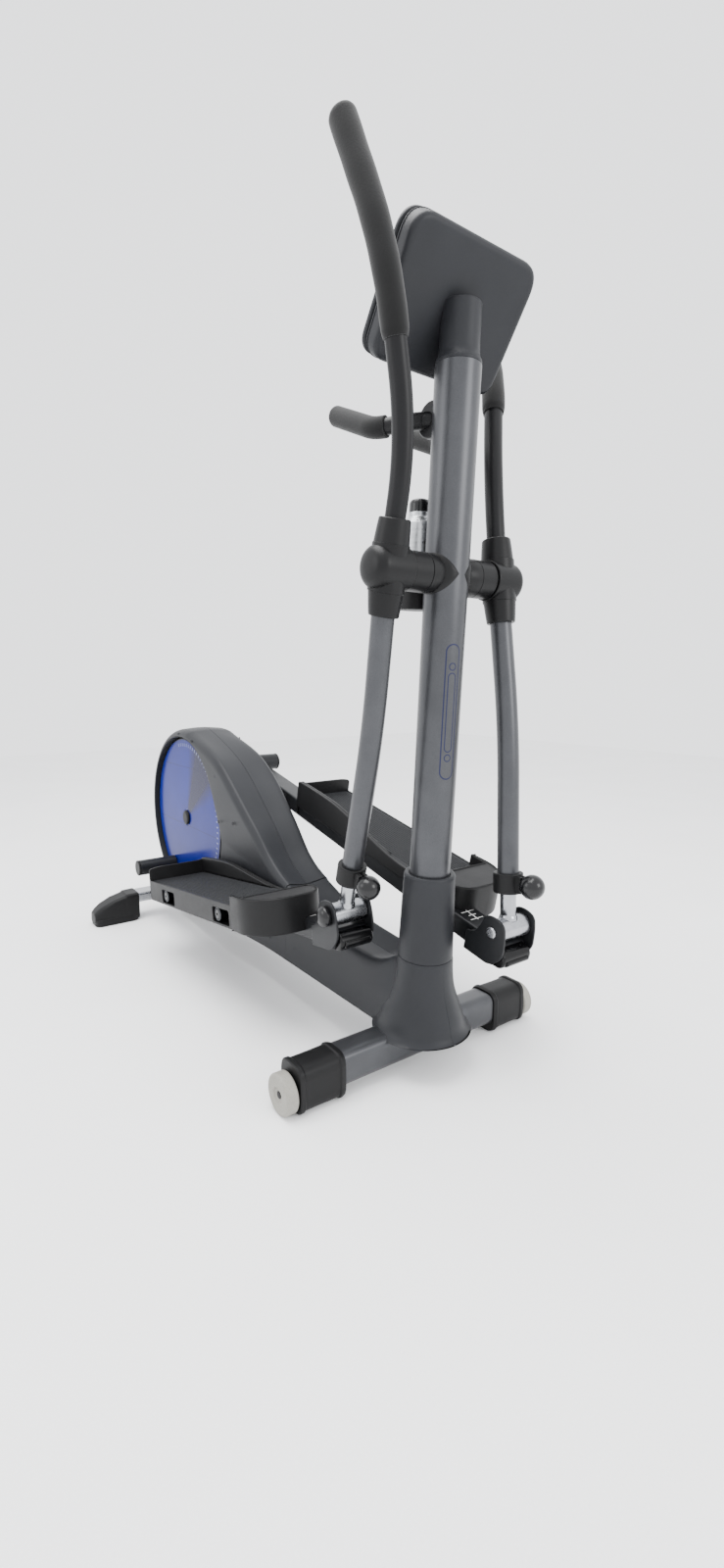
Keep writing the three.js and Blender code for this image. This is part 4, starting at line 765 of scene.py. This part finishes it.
def saddle(side):
    """A leaf-shaped skin on the mast: half height 34 (1 - |angle / 80 deg|^2.2) at each angle from the side.

    It stands 4 proud in the middle and thins to its rim."""
    a = np.radians(np.linspace(-80, 80, 61))[:, None]
    t = np.linspace(-1, 1, 25)[None, :]
    away = np.abs(a / np.radians(80))
    reach = 34.0 * np.maximum(1 - away ** 2.2, 0.0)
    lift = 38.8 + 4.0 * (1 - np.abs(t) ** 4) * np.clip(1.0 - away ** 6, 0, 1)
    angle = side * (np.pi / 2 - a)
    outer = mast_axes.put(lift * np.cos(angle), lift * np.sin(angle), pivot_level + reach * t)
    inner_r = np.full_like(lift, 38.6)
    inner = mast_axes.put(inner_r * np.cos(angle), inner_r * np.sin(angle), pivot_level + reach * t)
    return two_skins(outer, inner)


for side, y in sides:
    sleeve = rounded([(13, 30), (30, 30), (33, 44), (33.5, 57.2), (32.2, 57.6), (32.2, 58.4), (33.2, 58.8),
                      (33, 94.6), (31.5, 96), (13, 96)], [0.5, 1, 8, 0.5, 0.1, 0.1, 0.5, 1.2, 1.2, 0.2], 4)
    piece(f"axle_cover_{side}", [hoop(sleeve, across(y, pivot_x, pivot[2])), saddle(y)], black_satin,
          "frame", "black_plastic", f"hub_cover_{side}")


# ---------------------------------------------------------------- swinging handles
# Each handle is a bent steel tube below the axle, powder coated, and a black tube with a foam sleeve
# above it. A two-part nylon T hides the weld between them and the hub that turns on the axle.
def swept(path, radius, put, steps=40):
    """A round bar along a smooth path; radius is one number or one for each station.

    Each ring lies square to the path, on two directions made by cross products with it."""
    p = np.array(path, float)
    d = np.gradient(p, axis=0)
    d = d / np.linalg.norm(d, axis=1)[:, None]
    u = np.cross([0.0, 1.0, 0.0], d)
    u = u / np.linalg.norm(u, axis=1)[:, None]
    v = np.cross(d, u)
    a = np.arange(steps) * 2 * np.pi / steps
    r = np.broadcast_to(radius, len(p))[:, None, None]
    grid = p[:, None] + r * (u[:, None] * np.cos(a)[None, :, None] + v[:, None] * np.sin(a)[None, :, None])
    return strip(put(grid[..., 0], grid[..., 1], grid[..., 2]), caps=(True, True))


def bent(points, reach, count=120):
    """Straight runs joined by bends that start reach before each corner, evenly sampled."""
    p = np.array(points, float)
    fine = [p[0]]
    for i in range(1, len(p) - 1):
        a = p[i] + (p[i - 1] - p[i]) / np.linalg.norm(p[i - 1] - p[i]) * reach
        b = p[i] + (p[i + 1] - p[i]) / np.linalg.norm(p[i + 1] - p[i]) * reach
        t = np.linspace(0, 1, 24)[:, None]
        fine += list((1 - t) ** 2 * a + 2 * t * (1 - t) * p[i] + t ** 2 * b)
    fine = np.array([*fine, p[-1]])
    length = np.concatenate([[0], np.cumsum(np.linalg.norm(np.diff(fine, axis=0), axis=1))])
    s = np.linspace(0, length[-1], count)
    return np.column_stack([np.interp(s, length, fine[:, k]) for k in range(3)])


def unit(v):
    """The vector of length one along v."""
    return np.array(v, float) / np.linalg.norm(v)


# Closed-cell foam: dead matt, softly pitted, a little lighter where it is handled.
foam = surface("closed_cell_foam_black", "#090909", "#0f0f10", (0.82, 0.93), 2.4, 0.35, 30.0,
               Sheen_Weight=0.15)
# Satin black powder coat: a soft, faintly dimpled sheen.
black_coat = surface("powder_coat_satin_black", "#08080a", "#0d0d0f", (0.35, 0.45), 1.6, 0.04, 60.0)
# Phenolic resin, moulded and tumbled: smooth black with a small bright highlight.
knob_black = surface("phenolic_ball_black", "#08080a", "#0c0c0e", (0.24, 0.34), 3.0, 0.008, 40.0,
                     Coat_Weight=0.3, Coat_Roughness=0.15)
# From the axle down to the clevis, and from the middle of the machine out to the hub and to the clevis.
rocker = 646.0
hub_y = 130.0
clevis_y = 111.0
bend_drop = 270.0
handles = {}
for side, y in sides:
    clevis = place(f"pedal_arm_{side}_pivot")
    down = unit((pivot - clevis) * [1, 0, 1])
    turn = Axes(pivot, x=(down[2], 0, -down[0]), z=down)
    hub_end = np.array([0, y * hub_y, 0])
    foot = np.array([0, y * clevis_y, -rocker])
    bend = np.array([15, y * (hub_y + (clevis_y - hub_y) * bend_drop / rocker), -bend_drop])
    tube_dir = unit(bend - foot)
    handles[side] = (turn, foot, tube_dir)
    path = bent([(0, y * hub_y, -20), bend, foot + 88 * tube_dir], 95)

    def hub(a, b, t):
        """Places (forwards, up, along the axle outwards) about the hub."""
        return turn.put(a, y * t, b)

    boss = [(0, 100), (21.5, 100), (22, 100.5), (22, 151.5), (21.5, 152), (0, 152)]
    piece(f"handle_lower_{side}", [swept(path, 20.0, turn.put, 48), turned(boss, hub, 48)], powder_coat,
          f"handle_{side}", "grey_paint", f"handle_tube_{side}")

    upper = bent([(0, y * hub_y, 30), (0, y * hub_y, 190), (-35, y * (hub_y + 57), 420),
                  (-135, y * (hub_y + 95), 590)], 90)
    piece(f"handle_upper_{side}", [swept(upper[:70], 17.0, turn.put, 48)], black_coat, f"handle_{side}",
          "black_paint", f"upper_handle_{side}")
    t = np.linspace(0, 1, 90)
    span = 58 + t * 61
    grip = np.column_stack([np.interp(span, np.arange(120), upper[:, k]) for k in range(3)])
    reach = 21.0 - 2.2 * np.exp(-((t / 0.02) ** 2)) + 0.35 * np.sin(t * np.pi * 5) ** 2
    dome = 1 - np.clip((t - 0.955) / 0.045, 0, 1) ** 2.4
    thickness = np.maximum(reach * np.sqrt(np.maximum(dome, 0)), 3.0)
    piece(f"foam_sleeve_{side}", [swept(grip, thickness, turn.put, 48)], foam, f"handle_{side}", "foam",
          f"foam_grip_{side}")

    body = rounded([(24, 97), (35.5, 97), (36, 99.5), (36, 140), (35.5, 158), (27, 168), (14, 171.5),
                    (0, 172)],
                   [0.3, 1.5, 3, 12, 10, 9, 12, 0], 6, closed=False)
    body = np.vstack([[0, 97], body])
    tee = [turned(body, hub, 96)]
    lengths = np.array([0, 20, 36, 37.2, 37.8, 39, 60, 74.5, 76, 76])
    radii = np.array([29.5, 30.6, 31.0, 30.8, 29.6, 29.4, 27.6, 26.0, 24.8, 18.0])
    a = np.arange(64) * 2 * np.pi / 64
    for way in (unit(bend - hub_end), np.array([0, 0, 1])):
        line = hub_end + np.outer(lengths, way)
        grid = line[:, None] + radii[:, None, None] * np.stack([np.cos(a), np.sin(a), np.zeros(64)], axis=-1)
        tee.append(strip(turn.put(grid[..., 0], grid[..., 1], grid[..., 2]), caps=(True, True)))
    piece(f"hub_tee_{side}", tee, black_satin, f"handle_{side}", "black_plastic", f"hub_shroud_{side}")


# ---------------------------------------------------------------- clamp collars, knobs and lower links
# The bright lower link telescopes into the handle tube. A split nylon collar with a ball-ended clamping
# screw pinches it, and its foot is a cross barrel, turned bright, that holds the clevis pin.
screw_height = 88.0
for side, y in sides:
    turn, foot, tube_dir = handles[side]
    z_dir = tube_dir @ turn.turn
    y_dir = unit(np.array([0, 1, 0]) - z_dir[1] * z_dir)
    lower = Axes(turn.put(*foot), x=np.cross(y_dir, z_dir), y=y_dir, z=z_dir)
    ring = rounded([(20.4, 69), (27, 69), (28, 71), (28, 105), (27, 107), (20.4, 107)],
                   [0.4, 1.2, 2, 2, 1.2, 0.4], 4)
    parts = [hoop(ring, lower.put)]
    for gap_side in (-1, 1):
        leaf = box_loop(9.6, 32, 4.0, gap_side * 6.2, screw_height)
        parts += prism([leaf], 22, 38.5, 1.6, endways(lower.put))
    piece(f"collar_{side}", parts, black_nylon, f"handle_{side}", "black_plastic", f"clamp_collar_{side}")
    a = np.linspace(np.radians(28), np.pi, 28)
    ball = np.column_stack([23 * np.sin(a), 57 - 23 * np.cos(a)])
    ball[-1, 0] = 0
    profile = np.vstack([[(0, 20.8), (4, 20.8), (4, 36), (7.5, 36.4), (8.5, 37)], ball])
    clamp = Axes(lower.put(0, 0, screw_height), *lower.turn)
    piece(f"knob_{side}", [turned(profile, endways(clamp.put), 64)], knob_black, f"clamp_knob_{side}",
          "foam", f"clamp_knob_{side}")
    barrel = rounded([(8.6, -38.4), (21, -38.4), (22, -37.4), (22, 37.4), (21, 38.4), (8.6, 38.4)], 0.6, 3)
    cross = Axes(turn.put(*foot), y=(0, 1, 0))
    bead = [(0, 16), (17.5, 16), (17.4, 20), (16.2, 23.5), (15.0, 26), (15, 174), (14, 175), (0, 175)]
    parts = [hoop(barrel, sideways(cross.put), 72),
             turned(rounded(bead, [0, 0.2, 2, 3, 2, 1, 0.6, 0], 3, closed=False), lower.put, 64)]
    piece(f"link_{side}", parts, bright_steel, f"lower_link_{side}", "steel", f"lower_link_{side}")


# ---------------------------------------------------------------- pedal arms and clevises
# A box-steel arm runs from the crank pin to a clevis of two rounded ears. The cross barrel turns between
# the ears on a pin with a black ball cap outside and a bright bolt inside; a bumper closes the nose.
span = 1058.0
splay = 14.0
# A darker coat than the frame's, with less flake in it.
dark_coat = surface("powder_coat_dark_grey", "#18191b", "#1e1f21", (0.34, 0.46), 1.6, 0.05, 50.0, 0.35,
                    Coat_Weight=0.1, Coat_Roughness=0.3)
# Soft PVC, dipped: glossy black, so it carries a clear highlight.
bumper = surface("pvc_bumper_black", "#060607", "#0a0a0b", (0.16, 0.24), 4.0, 0.008, 40.0)
# White stencil ink, thin and dry, with the coat's texture showing through.
white_ink = surface("stencil_ink_white", "#c9c9c6", "#dededb", (0.5, 0.6), 1.2, 0.02, 10.0)


def arm_middle(x):
    """The height of the arm's middle line: it drops by 17 from the crank pin to just behind the clevis."""
    return -28 - 17 * (x + 1050) / 1020


arms = {}
for side, y in sides:
    origin = place(f"pedal_arm_{side}_pivot") * [1, 0, 1]
    x_dir = unit(np.array(joints[f"footplate_{side}_slide"]["axis"]) * [1, 0, 1])
    own = Axes(origin, x=x_dir, z=(-x_dir[2], 0, x_dir[0]))

    def arm_put(x, d, z, own=own, y=y):
        """Points along the arm, outwards from its middle line and up; the arm leans out towards its rear."""
        return own.put(x, y * (clevis_y + d) - y * x * splay / span, z)

    def square_put(x, d, z, own=own, y=y):
        """The same, square to the machine: the clevis and the bearing sit true."""
        return own.put(x, y * (clevis_y + d), z)

    arms[side] = arm_put
    x = np.linspace(-1050, -30, 12)[:, None]
    ring = box_loop(58, 44, 7)
    parts = [strip(arm_put(x, ring[:, 0], ring[:, 1] + arm_middle(x)), caps=(True, True))]
    tube = rounded([(12.6, 67), (24, 67), (24, 184), (12.6, 184)], [0.5, 1.5, 1.5, 0.5], 4)

    def bearing(a, b, t):
        """Places (forwards, up, outwards from the machine's middle) about the crank pin."""
        return square_put(a - span, t - clevis_y, b)

    parts.append(hoop(tube, bearing, 64))
    piece(f"arm_{side}", parts, dark_coat, f"pedal_arm_{side}", "grey_paint", f"pedal_arm_{side}")

    ear = rounded([(-62, -67), (6, -67), (34, -40), (31, 0), (24, 26), (0, 31.5), (-24, 26), (-31, 0),
                   (-44, -22), (-62, -26)], [3, 14, 16, 14, 16, 16, 16, 14, 12, 3], 6)
    parts = []
    for d0, d1 in ((39.3, 44), (-44, -39.3)):
        parts += prism([ear], d0, d1, 1.4, sideways(square_put))
    block = rounded([(-58, -66), (10, -66), (16, -58), (16, -34), (8, -27), (-58, -27)],
                    [2, 8, 10, 10, 8, 2], 5)
    parts += prism([block], -39.6, 39.6, 1.0, sideways(square_put))
    piece(f"clevis_{side}", parts, dark_coat, f"pedal_arm_{side}", "grey_paint", f"pedal_arm_{side}")

    nose = rounded([(6, -67), (26, -66), (36, -56), (37, -44), (30, -33), (6, -30)], [2, 10, 10, 10, 9, 2],
                   6)
    lip = rounded([(4, -40), (40, -47), (41, -53), (34, -61), (4, -62)], [2, 5, 5, 8, 2], 5)
    parts = prism([nose], -37.5, 37.5, 4.0, sideways(square_put))
    parts += prism([lip], -30, 30, 3.0, sideways(square_put))
    piece(f"nose_bumper_{side}", parts, bumper, f"pedal_arm_{side}", "black_plastic")

    cap = rounded([(0, -49), (9, -49), (11, -47.5), (11, -44.3), (8, -44.3)], [0, 1.5, 1, 0.2, 0], 4,
                  closed=False)
    bolt = np.vstack([cap, [(8, 44.2), (0, 44.2)]])
    piece(f"clevis_bolt_{side}", [turned(bolt, sideways(square_put), 48)], bright_steel, f"pedal_arm_{side}",
          "steel")
    a = np.linspace(0.15, np.pi / 2, 14)
    ball = np.column_stack([20.5 * np.cos(a), 50 + 12.5 * np.sin(a)])
    ball[-1, 0] = 0
    ball = np.vstack([[(0, 44.3), (17.5, 44.3), (19.6, 46)], ball])
    piece(f"clevis_cap_{side}", [turned(ball, sideways(square_put), 64)], knob_black, f"pedal_arm_{side}",
          "black_plastic", f"clevis_pin_{side}")
    pin = rounded([(0, 66.5), (12, 66.5), (12, 184.3), (23, 184.3), (24.6, 186), (24.6, 188), (22, 190),
                   (0, 190)],
                  [0, 1, 0.2, 0.5, 1, 1, 2, 0], 4, closed=False)
    piece(f"crank_stub_{side}", [turned(pin, bearing, 64)], black_nylon, f"pedal_arm_{side}",
          "black_plastic", f"crank_pin_{side}")
    # White ladder marks, stencilled across the arm's top just behind the clevis.
    marks = []
    for k in range(6):
        x0 = -78.0 - 14 * k
        z0 = arm_middle(x0) + 22.12
        long = 17.0 if k % 2 == 0 else 10.0
        rung = np.array([(x0, -long), (x0, long), (x0 - 1.8, long), (x0 - 1.8, -long)])
        marks += prism([rung], z0, z0 + 0.2, 0.05, arm_put)
    stroke = np.array([(-75, -1), (-75, 1), (-152, 1), (-152, -1)])
    marks += prism([stroke], 22.14, 22.24, 0.02, lambda a, b, z: arm_put(a, b, arm_middle(a) + z))
    piece(f"arm_scale_{side}", marks, white_ink, f"pedal_arm_{side}", "steel")


# ---------------------------------------------------------------- footplates
# Each footplate is one big nylon moulding bolted over the arm: a grey ribbed tread, a black rim at the
# heel and along the inside, a rounded toe guard, and skirts whose slots show the two adjusting bolts.
# Nylon with a coarse grain for grip: matt, a little greyer than the rims.
tread_grey = surface("nylon_grained_grey_tread", "#18191b", "#1f2022", (0.6, 0.75), 1.4, 0.3, 40.0)
# The same nylon with a satin grain, deep black on the rims.
rim_black = surface("nylon_satin_black_rim", "#0b0b0c", "#101011", (0.4, 0.52), 1.6, 0.08, 40.0)
# And a shade lighter on the toe guard, which is moulded apart.
guard_grey = surface("nylon_satin_toe_guard", "#0e0e0f", "#131314", (0.42, 0.55), 1.6, 0.08, 40.0)
# Along the arm from the clevis: the heel, where the toe guard starts, and its tip. Across it: both edges.
heel = -749.0
toe = -195.0
tip = -106.0
inner = -36.0
outer = 131.0
bulge = 9.0
bolts = (-640.0, -320.0)
slot_low, slot_high, slot_back, slot_front = -43, -9, -17, 67
for side, y in sides:
    flat = arms[side]
    upright = sideways(flat)
    body, slot = f"footplate_{side}", "black_plastic"
    plate = rounded([(heel, inner), (toe, inner), (toe, outer), (heel, outer)], [12, 2, 2, 16], 6)
    parts = prism([inset(plate, 5.2)], -5.5, 3.4, 0.6, flat)
    for d in np.arange(inner + 24, outer - 10, 7.5):
        rib = np.array([(heel + 22, d - 1.5), (toe - 8, d - 1.5), (toe - 8, d + 1.5), (heel + 22, d + 1.5)])
        parts += prism([rib], 3.2, 4.3, 0.4, flat)
    piece(f"tread_{side}", parts, tread_grey, body, slot, f"footplate_{side}")

    slots = [rounded([(bolt + slot_back, slot_low), (bolt + slot_front, slot_low),
                      (bolt + slot_front, slot_high),
                      (bolt + slot_back, slot_high)], 6, 4)[::-1] for bolt in bolts]
    skirt = rounded([(heel, -48), (toe + 2, -48), (toe + 2, 5), (heel, 5)], [10, 0.6, 0.6, 3], 5)
    parts = prism([skirt, *slots], outer - 5, outer, 1.2, upright)
    # A back wall and a floor make a dark trough behind the slots.
    back_wall = rounded([(heel + 8, -46), (toe, -46), (toe, -4), (heel + 8, -4)], 2, 3)
    parts += prism([back_wall], 96, 99, 0.6, upright)
    parts += prism([np.array([(heel + 9, 98), (toe, 98), (toe, 127), (heel + 9, 127)])], -48, -45.6, 0.5,
                   flat)
    end = rounded([(inner, -48), (outer, -48), (outer, 36), (outer - 24, 40), (inner + 20, 40), (inner, 46)],
                  [8, 8, 8, 30, 30, 6], 5)
    parts += prism([end], heel, heel + 6, 1.4, endways(flat))
    low = rounded([(heel, -24), (toe + 2, -24), (toe + 2, 4), (-330, 5), (-420, 20), (-560, 44), (-640, 47),
                   (heel, 46)], [8, 0.6, 0.6, 60, 80, 60, 60, 10], 6)
    parts += prism([low], inner, inner + 7, 1.6, upright)
    ledge = rounded([(heel, 5), (-330, 5), (-430, 21), (-560, 45), (-640, 47), (heel, 46)],
                    [2, 20, 60, 60, 60, 8], 6)
    parts += prism([ledge], inner + 6.6, inner + 14, 2.2, upright)
    piece(f"rims_{side}", parts, rim_black, body, slot)

    nose_loop = rounded([(toe, inner), (tip - 40, inner), (tip, inner + 34), (tip, outer - 40),
                         (tip - 56, outer + bulge), (toe - 44, outer + 2), (toe - 44, outer - 6),
                         (toe, outer - 6)],
                        [2, 36, 38, 56, 50, 4, 3, 2], 8)
    parts = prism([nose_loop, inset(nose_loop, 7)[::-1]], -48, 28, 3.5, flat)
    parts += prism([inset(nose_loop, 3)], 21.5, 26.0, 1.2, flat)
    piece(f"toe_guard_{side}", parts, guard_grey, body, slot)
    # Bolt heads with bright washers, seen through the skirt slots, fixed to brackets on the arm.
    parts, rings = [], []
    for bolt in bolts:
        def at_bolt(a, b, t):
            """Places (forwards, up, outwards) about the bolt, in the middle of its slot's height."""
            return flat(bolt + a, t, (slot_low + slot_high) / 2 + b)

        ring = rounded([(12.4, 124.4), (15.4, 124.4), (15.4, 126.8), (12.4, 126.8)], 0.9, 4)
        rings.append(hoop(ring, at_bolt, 48))
        head = rounded([(0, 100), (12.2, 100), (12.2, 126), (10.4, 127.6), (3.2, 127.6), (3.2, 125),
                        (0, 125)],
                       [0, 0.2, 1.6, 1.2, 0.4, 0.2, 0], 3, closed=False)
        parts.append(turned(head, at_bolt, 48))
        parts.append(turned([(0, 26), (7.6, 26), (7.6, 101), (0, 101)], at_bolt, 32))
    piece(f"slide_washers_{side}", rings, zinc_steel, f"pedal_arm_{side}", "steel")
    piece(f"slide_bolts_{side}", parts, knob_black, f"pedal_arm_{side}", "black_plastic")


# ---------------------------------------------------------------- console
# The console is a rounded ABS box on a neck at the mast's head, with a polycarbonate window over the
# display and two rubber keys beneath it.
# The face leans back by 0.62 radians.
tilt = np.pi / 2 - 0.62
face = Axes((605.333, 0, 1355.29), x=(np.cos(tilt), 0, np.sin(tilt)), z=(-np.sin(tilt), 0, np.cos(tilt)))
shell = rounded([(-100, -135), (100, -135), (100, 135), (-100, 135)], [30, 40, 40, 30], 10)
window = rounded([(-18, -85), (74, -85), (74, 85), (-18, 85)], 9, 6)
keys = {name: box_loop(18.8, 34.8, 5, -56, w * 37) for name, w in sides}
parts = prism([shell, window[::-1], *[loop[::-1] for loop in keys.values()]], 13, 23, 3.5, face.put)
parts += prism([inset(shell, 0.6)], -23, 14, 9.0, face.put)
seam = inset(shell, -0.5)
parts += prism([seam, inset(shell, 2)[::-1]], 3.2, 4.2, 0.4, face.put)
neck = rounded([(0, 0.3), (38.4, 0.3), (38.4, 5), (34, 14), (33, 34), (33, 90), (0, 90)],
               [0, 1, 4, 10, 12, 2, 0], 5, closed=False)
parts.append(turned(neck + [0, along_mast(1262)], mast_axes.put, 72))
piece("console_shell", parts, abs_grey, "frame", "casing_plastic", "console_housing")
# Dark tinted polycarbonate: glassy, with sharp reflections of the lights.
clear = surface("polycarbonate_dark_window", "#1d2623", "#202a27", (0.05, 0.09), 8.0, 0.005, 60.0,
                Coat_Weight=0.6, Coat_Roughness=0.03)
piece("console_window", prism([inset(window, 0.5)], 15.6, 21.2, 0.6, face.put), clear, "frame", "lens",
      "console_lens")
# Unlit liquid-crystal segments: a flat grey-green.
cell = surface("display_segments_grey", "#7c8a80", "#84928a", (0.4, 0.5), 2.0, 0.01, 20.0)
parts = []
for row in range(4):
    for column in range(3):
        loop = box_loop(13, 44, 3, -2 + row * 20, (column - 1) * 50)
        parts += prism([loop, inset(loop, 0.9)[::-1]], 21.1, 21.4, 0.1, face.put)
piece("console_cells", parts, cell, "frame", "lens")
# Silicone rubber: matt mid grey with a fine bloom.
key_rubber = surface("silicone_key_grey", "#2b2c2f", "#333437", (0.55, 0.68), 1.4, 0.08, 20.0)
for name, w in sides:
    parts = prism([box_loop(18, 34, 4.6, -56, w * 37)], 12.5, 26, 2.0, face.put)
    piece(f"key_{name}", parts, key_rubber, f"console_key_{name}", "black_plastic", f"console_key_{name}")


# ---------------------------------------------------------------- fixed handlebar
# A U-shaped bar clamped to the mast under the console gives a fixed hold; foam sleeves cover its ends.
bar_x = float(mast_axes.put(0, 0, along_mast(1185))[..., 0])
bar = Axes((bar_x, 0, 1185.0))
for side, y in sides:
    path = bent([(-240, y * 78, 56), (-120, y * 78, 0), (-58, y * 46, 0), (-30, y * 22, 0), (-30, 0, 0)], 20,
                90)
    parts = [swept(path[40:], 14.0, bar.put, 40)]
    if side == "right":
        parts.append(turned([(0, -30), (27, -30), (29, -28), (29, 28), (27, 30), (0, 30)],
                            lambda a, b, t: bar.put(-32 + a, t, b), 72))
    piece(f"bar_{side}", parts, black_coat, "frame", "black_paint",
          "fixed_handlebar" if side == "right" else ())
    t = np.linspace(0, 1, 80)
    grip = np.column_stack([np.interp(t * 52, np.arange(90), path[:, k]) for k in range(3)])
    radius = 18.0 * np.sqrt(np.clip(1 - np.clip((0.04 - t) / 0.04, 0, 1) ** 2.4, 0.05, 1))
    piece(f"bar_sleeve_{side}", [swept(grip, radius, bar.put, 40)], foam, "frame", "foam",
          f"handlebar_grip_{side}")


# ---------------------------------------------------------------- drink bottle and cage
# An aluminium bottle, brushed around its axis, stands in a wire-hooped nylon cage behind the mast.
flask = Axes((526.425, 0, 884.337), x=mast_axes.turn[0], z=mast_axes.turn[2])
# Aluminium, brushed round the bottle: a bright broken sheen, its lines drawn coarse enough to show.
brushed = surface("aluminium_brushed", "#a9abad", "#c4c6c8", (0.24, 0.34), 1.2, 0.08, 60.0, 1.0, (1, 1, 12))
profile = rounded([(0, 1.0), (28, 1.0), (32, 5), (32, 136), (29, 150), (20, 157), (20, 166), (0, 166)],
                  [0, 3, 4, 12, 12, 5, 1, 0], 6, closed=False)
piece("bottle", [turned(profile, flask.put, 96)], brushed, "drink_bottle", "steel", "drink_bottle")
cap = rounded([(0, 165), (19, 165), (19.6, 166), (19.6, 182), (17, 187), (8, 190), (0, 190)],
              [0, 0.5, 0.5, 3, 3, 3, 0], 5, closed=False)
piece("bottle_cap", [turned(cap, flask.put, 64)], knob_black, "drink_bottle", "black_plastic")
cup = rounded([(0, -3.3), (34, -3.3), (35.6, -1.5), (35.6, 29), (34.9, 30.6), (32.6, 30.6), (32.6, -0.3),
               (0, -0.3)],
              [0, 3, 2, 1, 0.6, 0.4, 1, 0], 4, closed=False)
parts = [turned(cup, flask.put, 96)]
band_loop = rounded([(32.6, 70), (35.6, 70), (35.6, 84), (32.6, 84)], 0.9, 4)
parts.append(hoop(band_loop, flask.put))
spine = rounded([(-3, -13), (0, -13), (0, 13), (-3, 13)], 0.8, 3)
parts += prism([spine + [36.3, 0]], -3, 118, 0.8, flask.put)
for side, y in sides:
    web = rounded([(-2, -5), (1, -5), (1, 5), (-2, 5)], 0.8, 3)
    parts += prism([web + [-33.8, y * 11]], 29, 71, 0.8, flask.put)
piece("cage", parts, black_nylon, "frame", "black_plastic", "bottle_cage")


# ---------------------------------------------------------------- sizes and finish
# The bounds of the solids and of the finished object, kept side by side.
boxes = {"cad": cad_box, "visual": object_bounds()}
{name: [list(map(float, corner)) for corner in box] for name, box in boxes.items()}
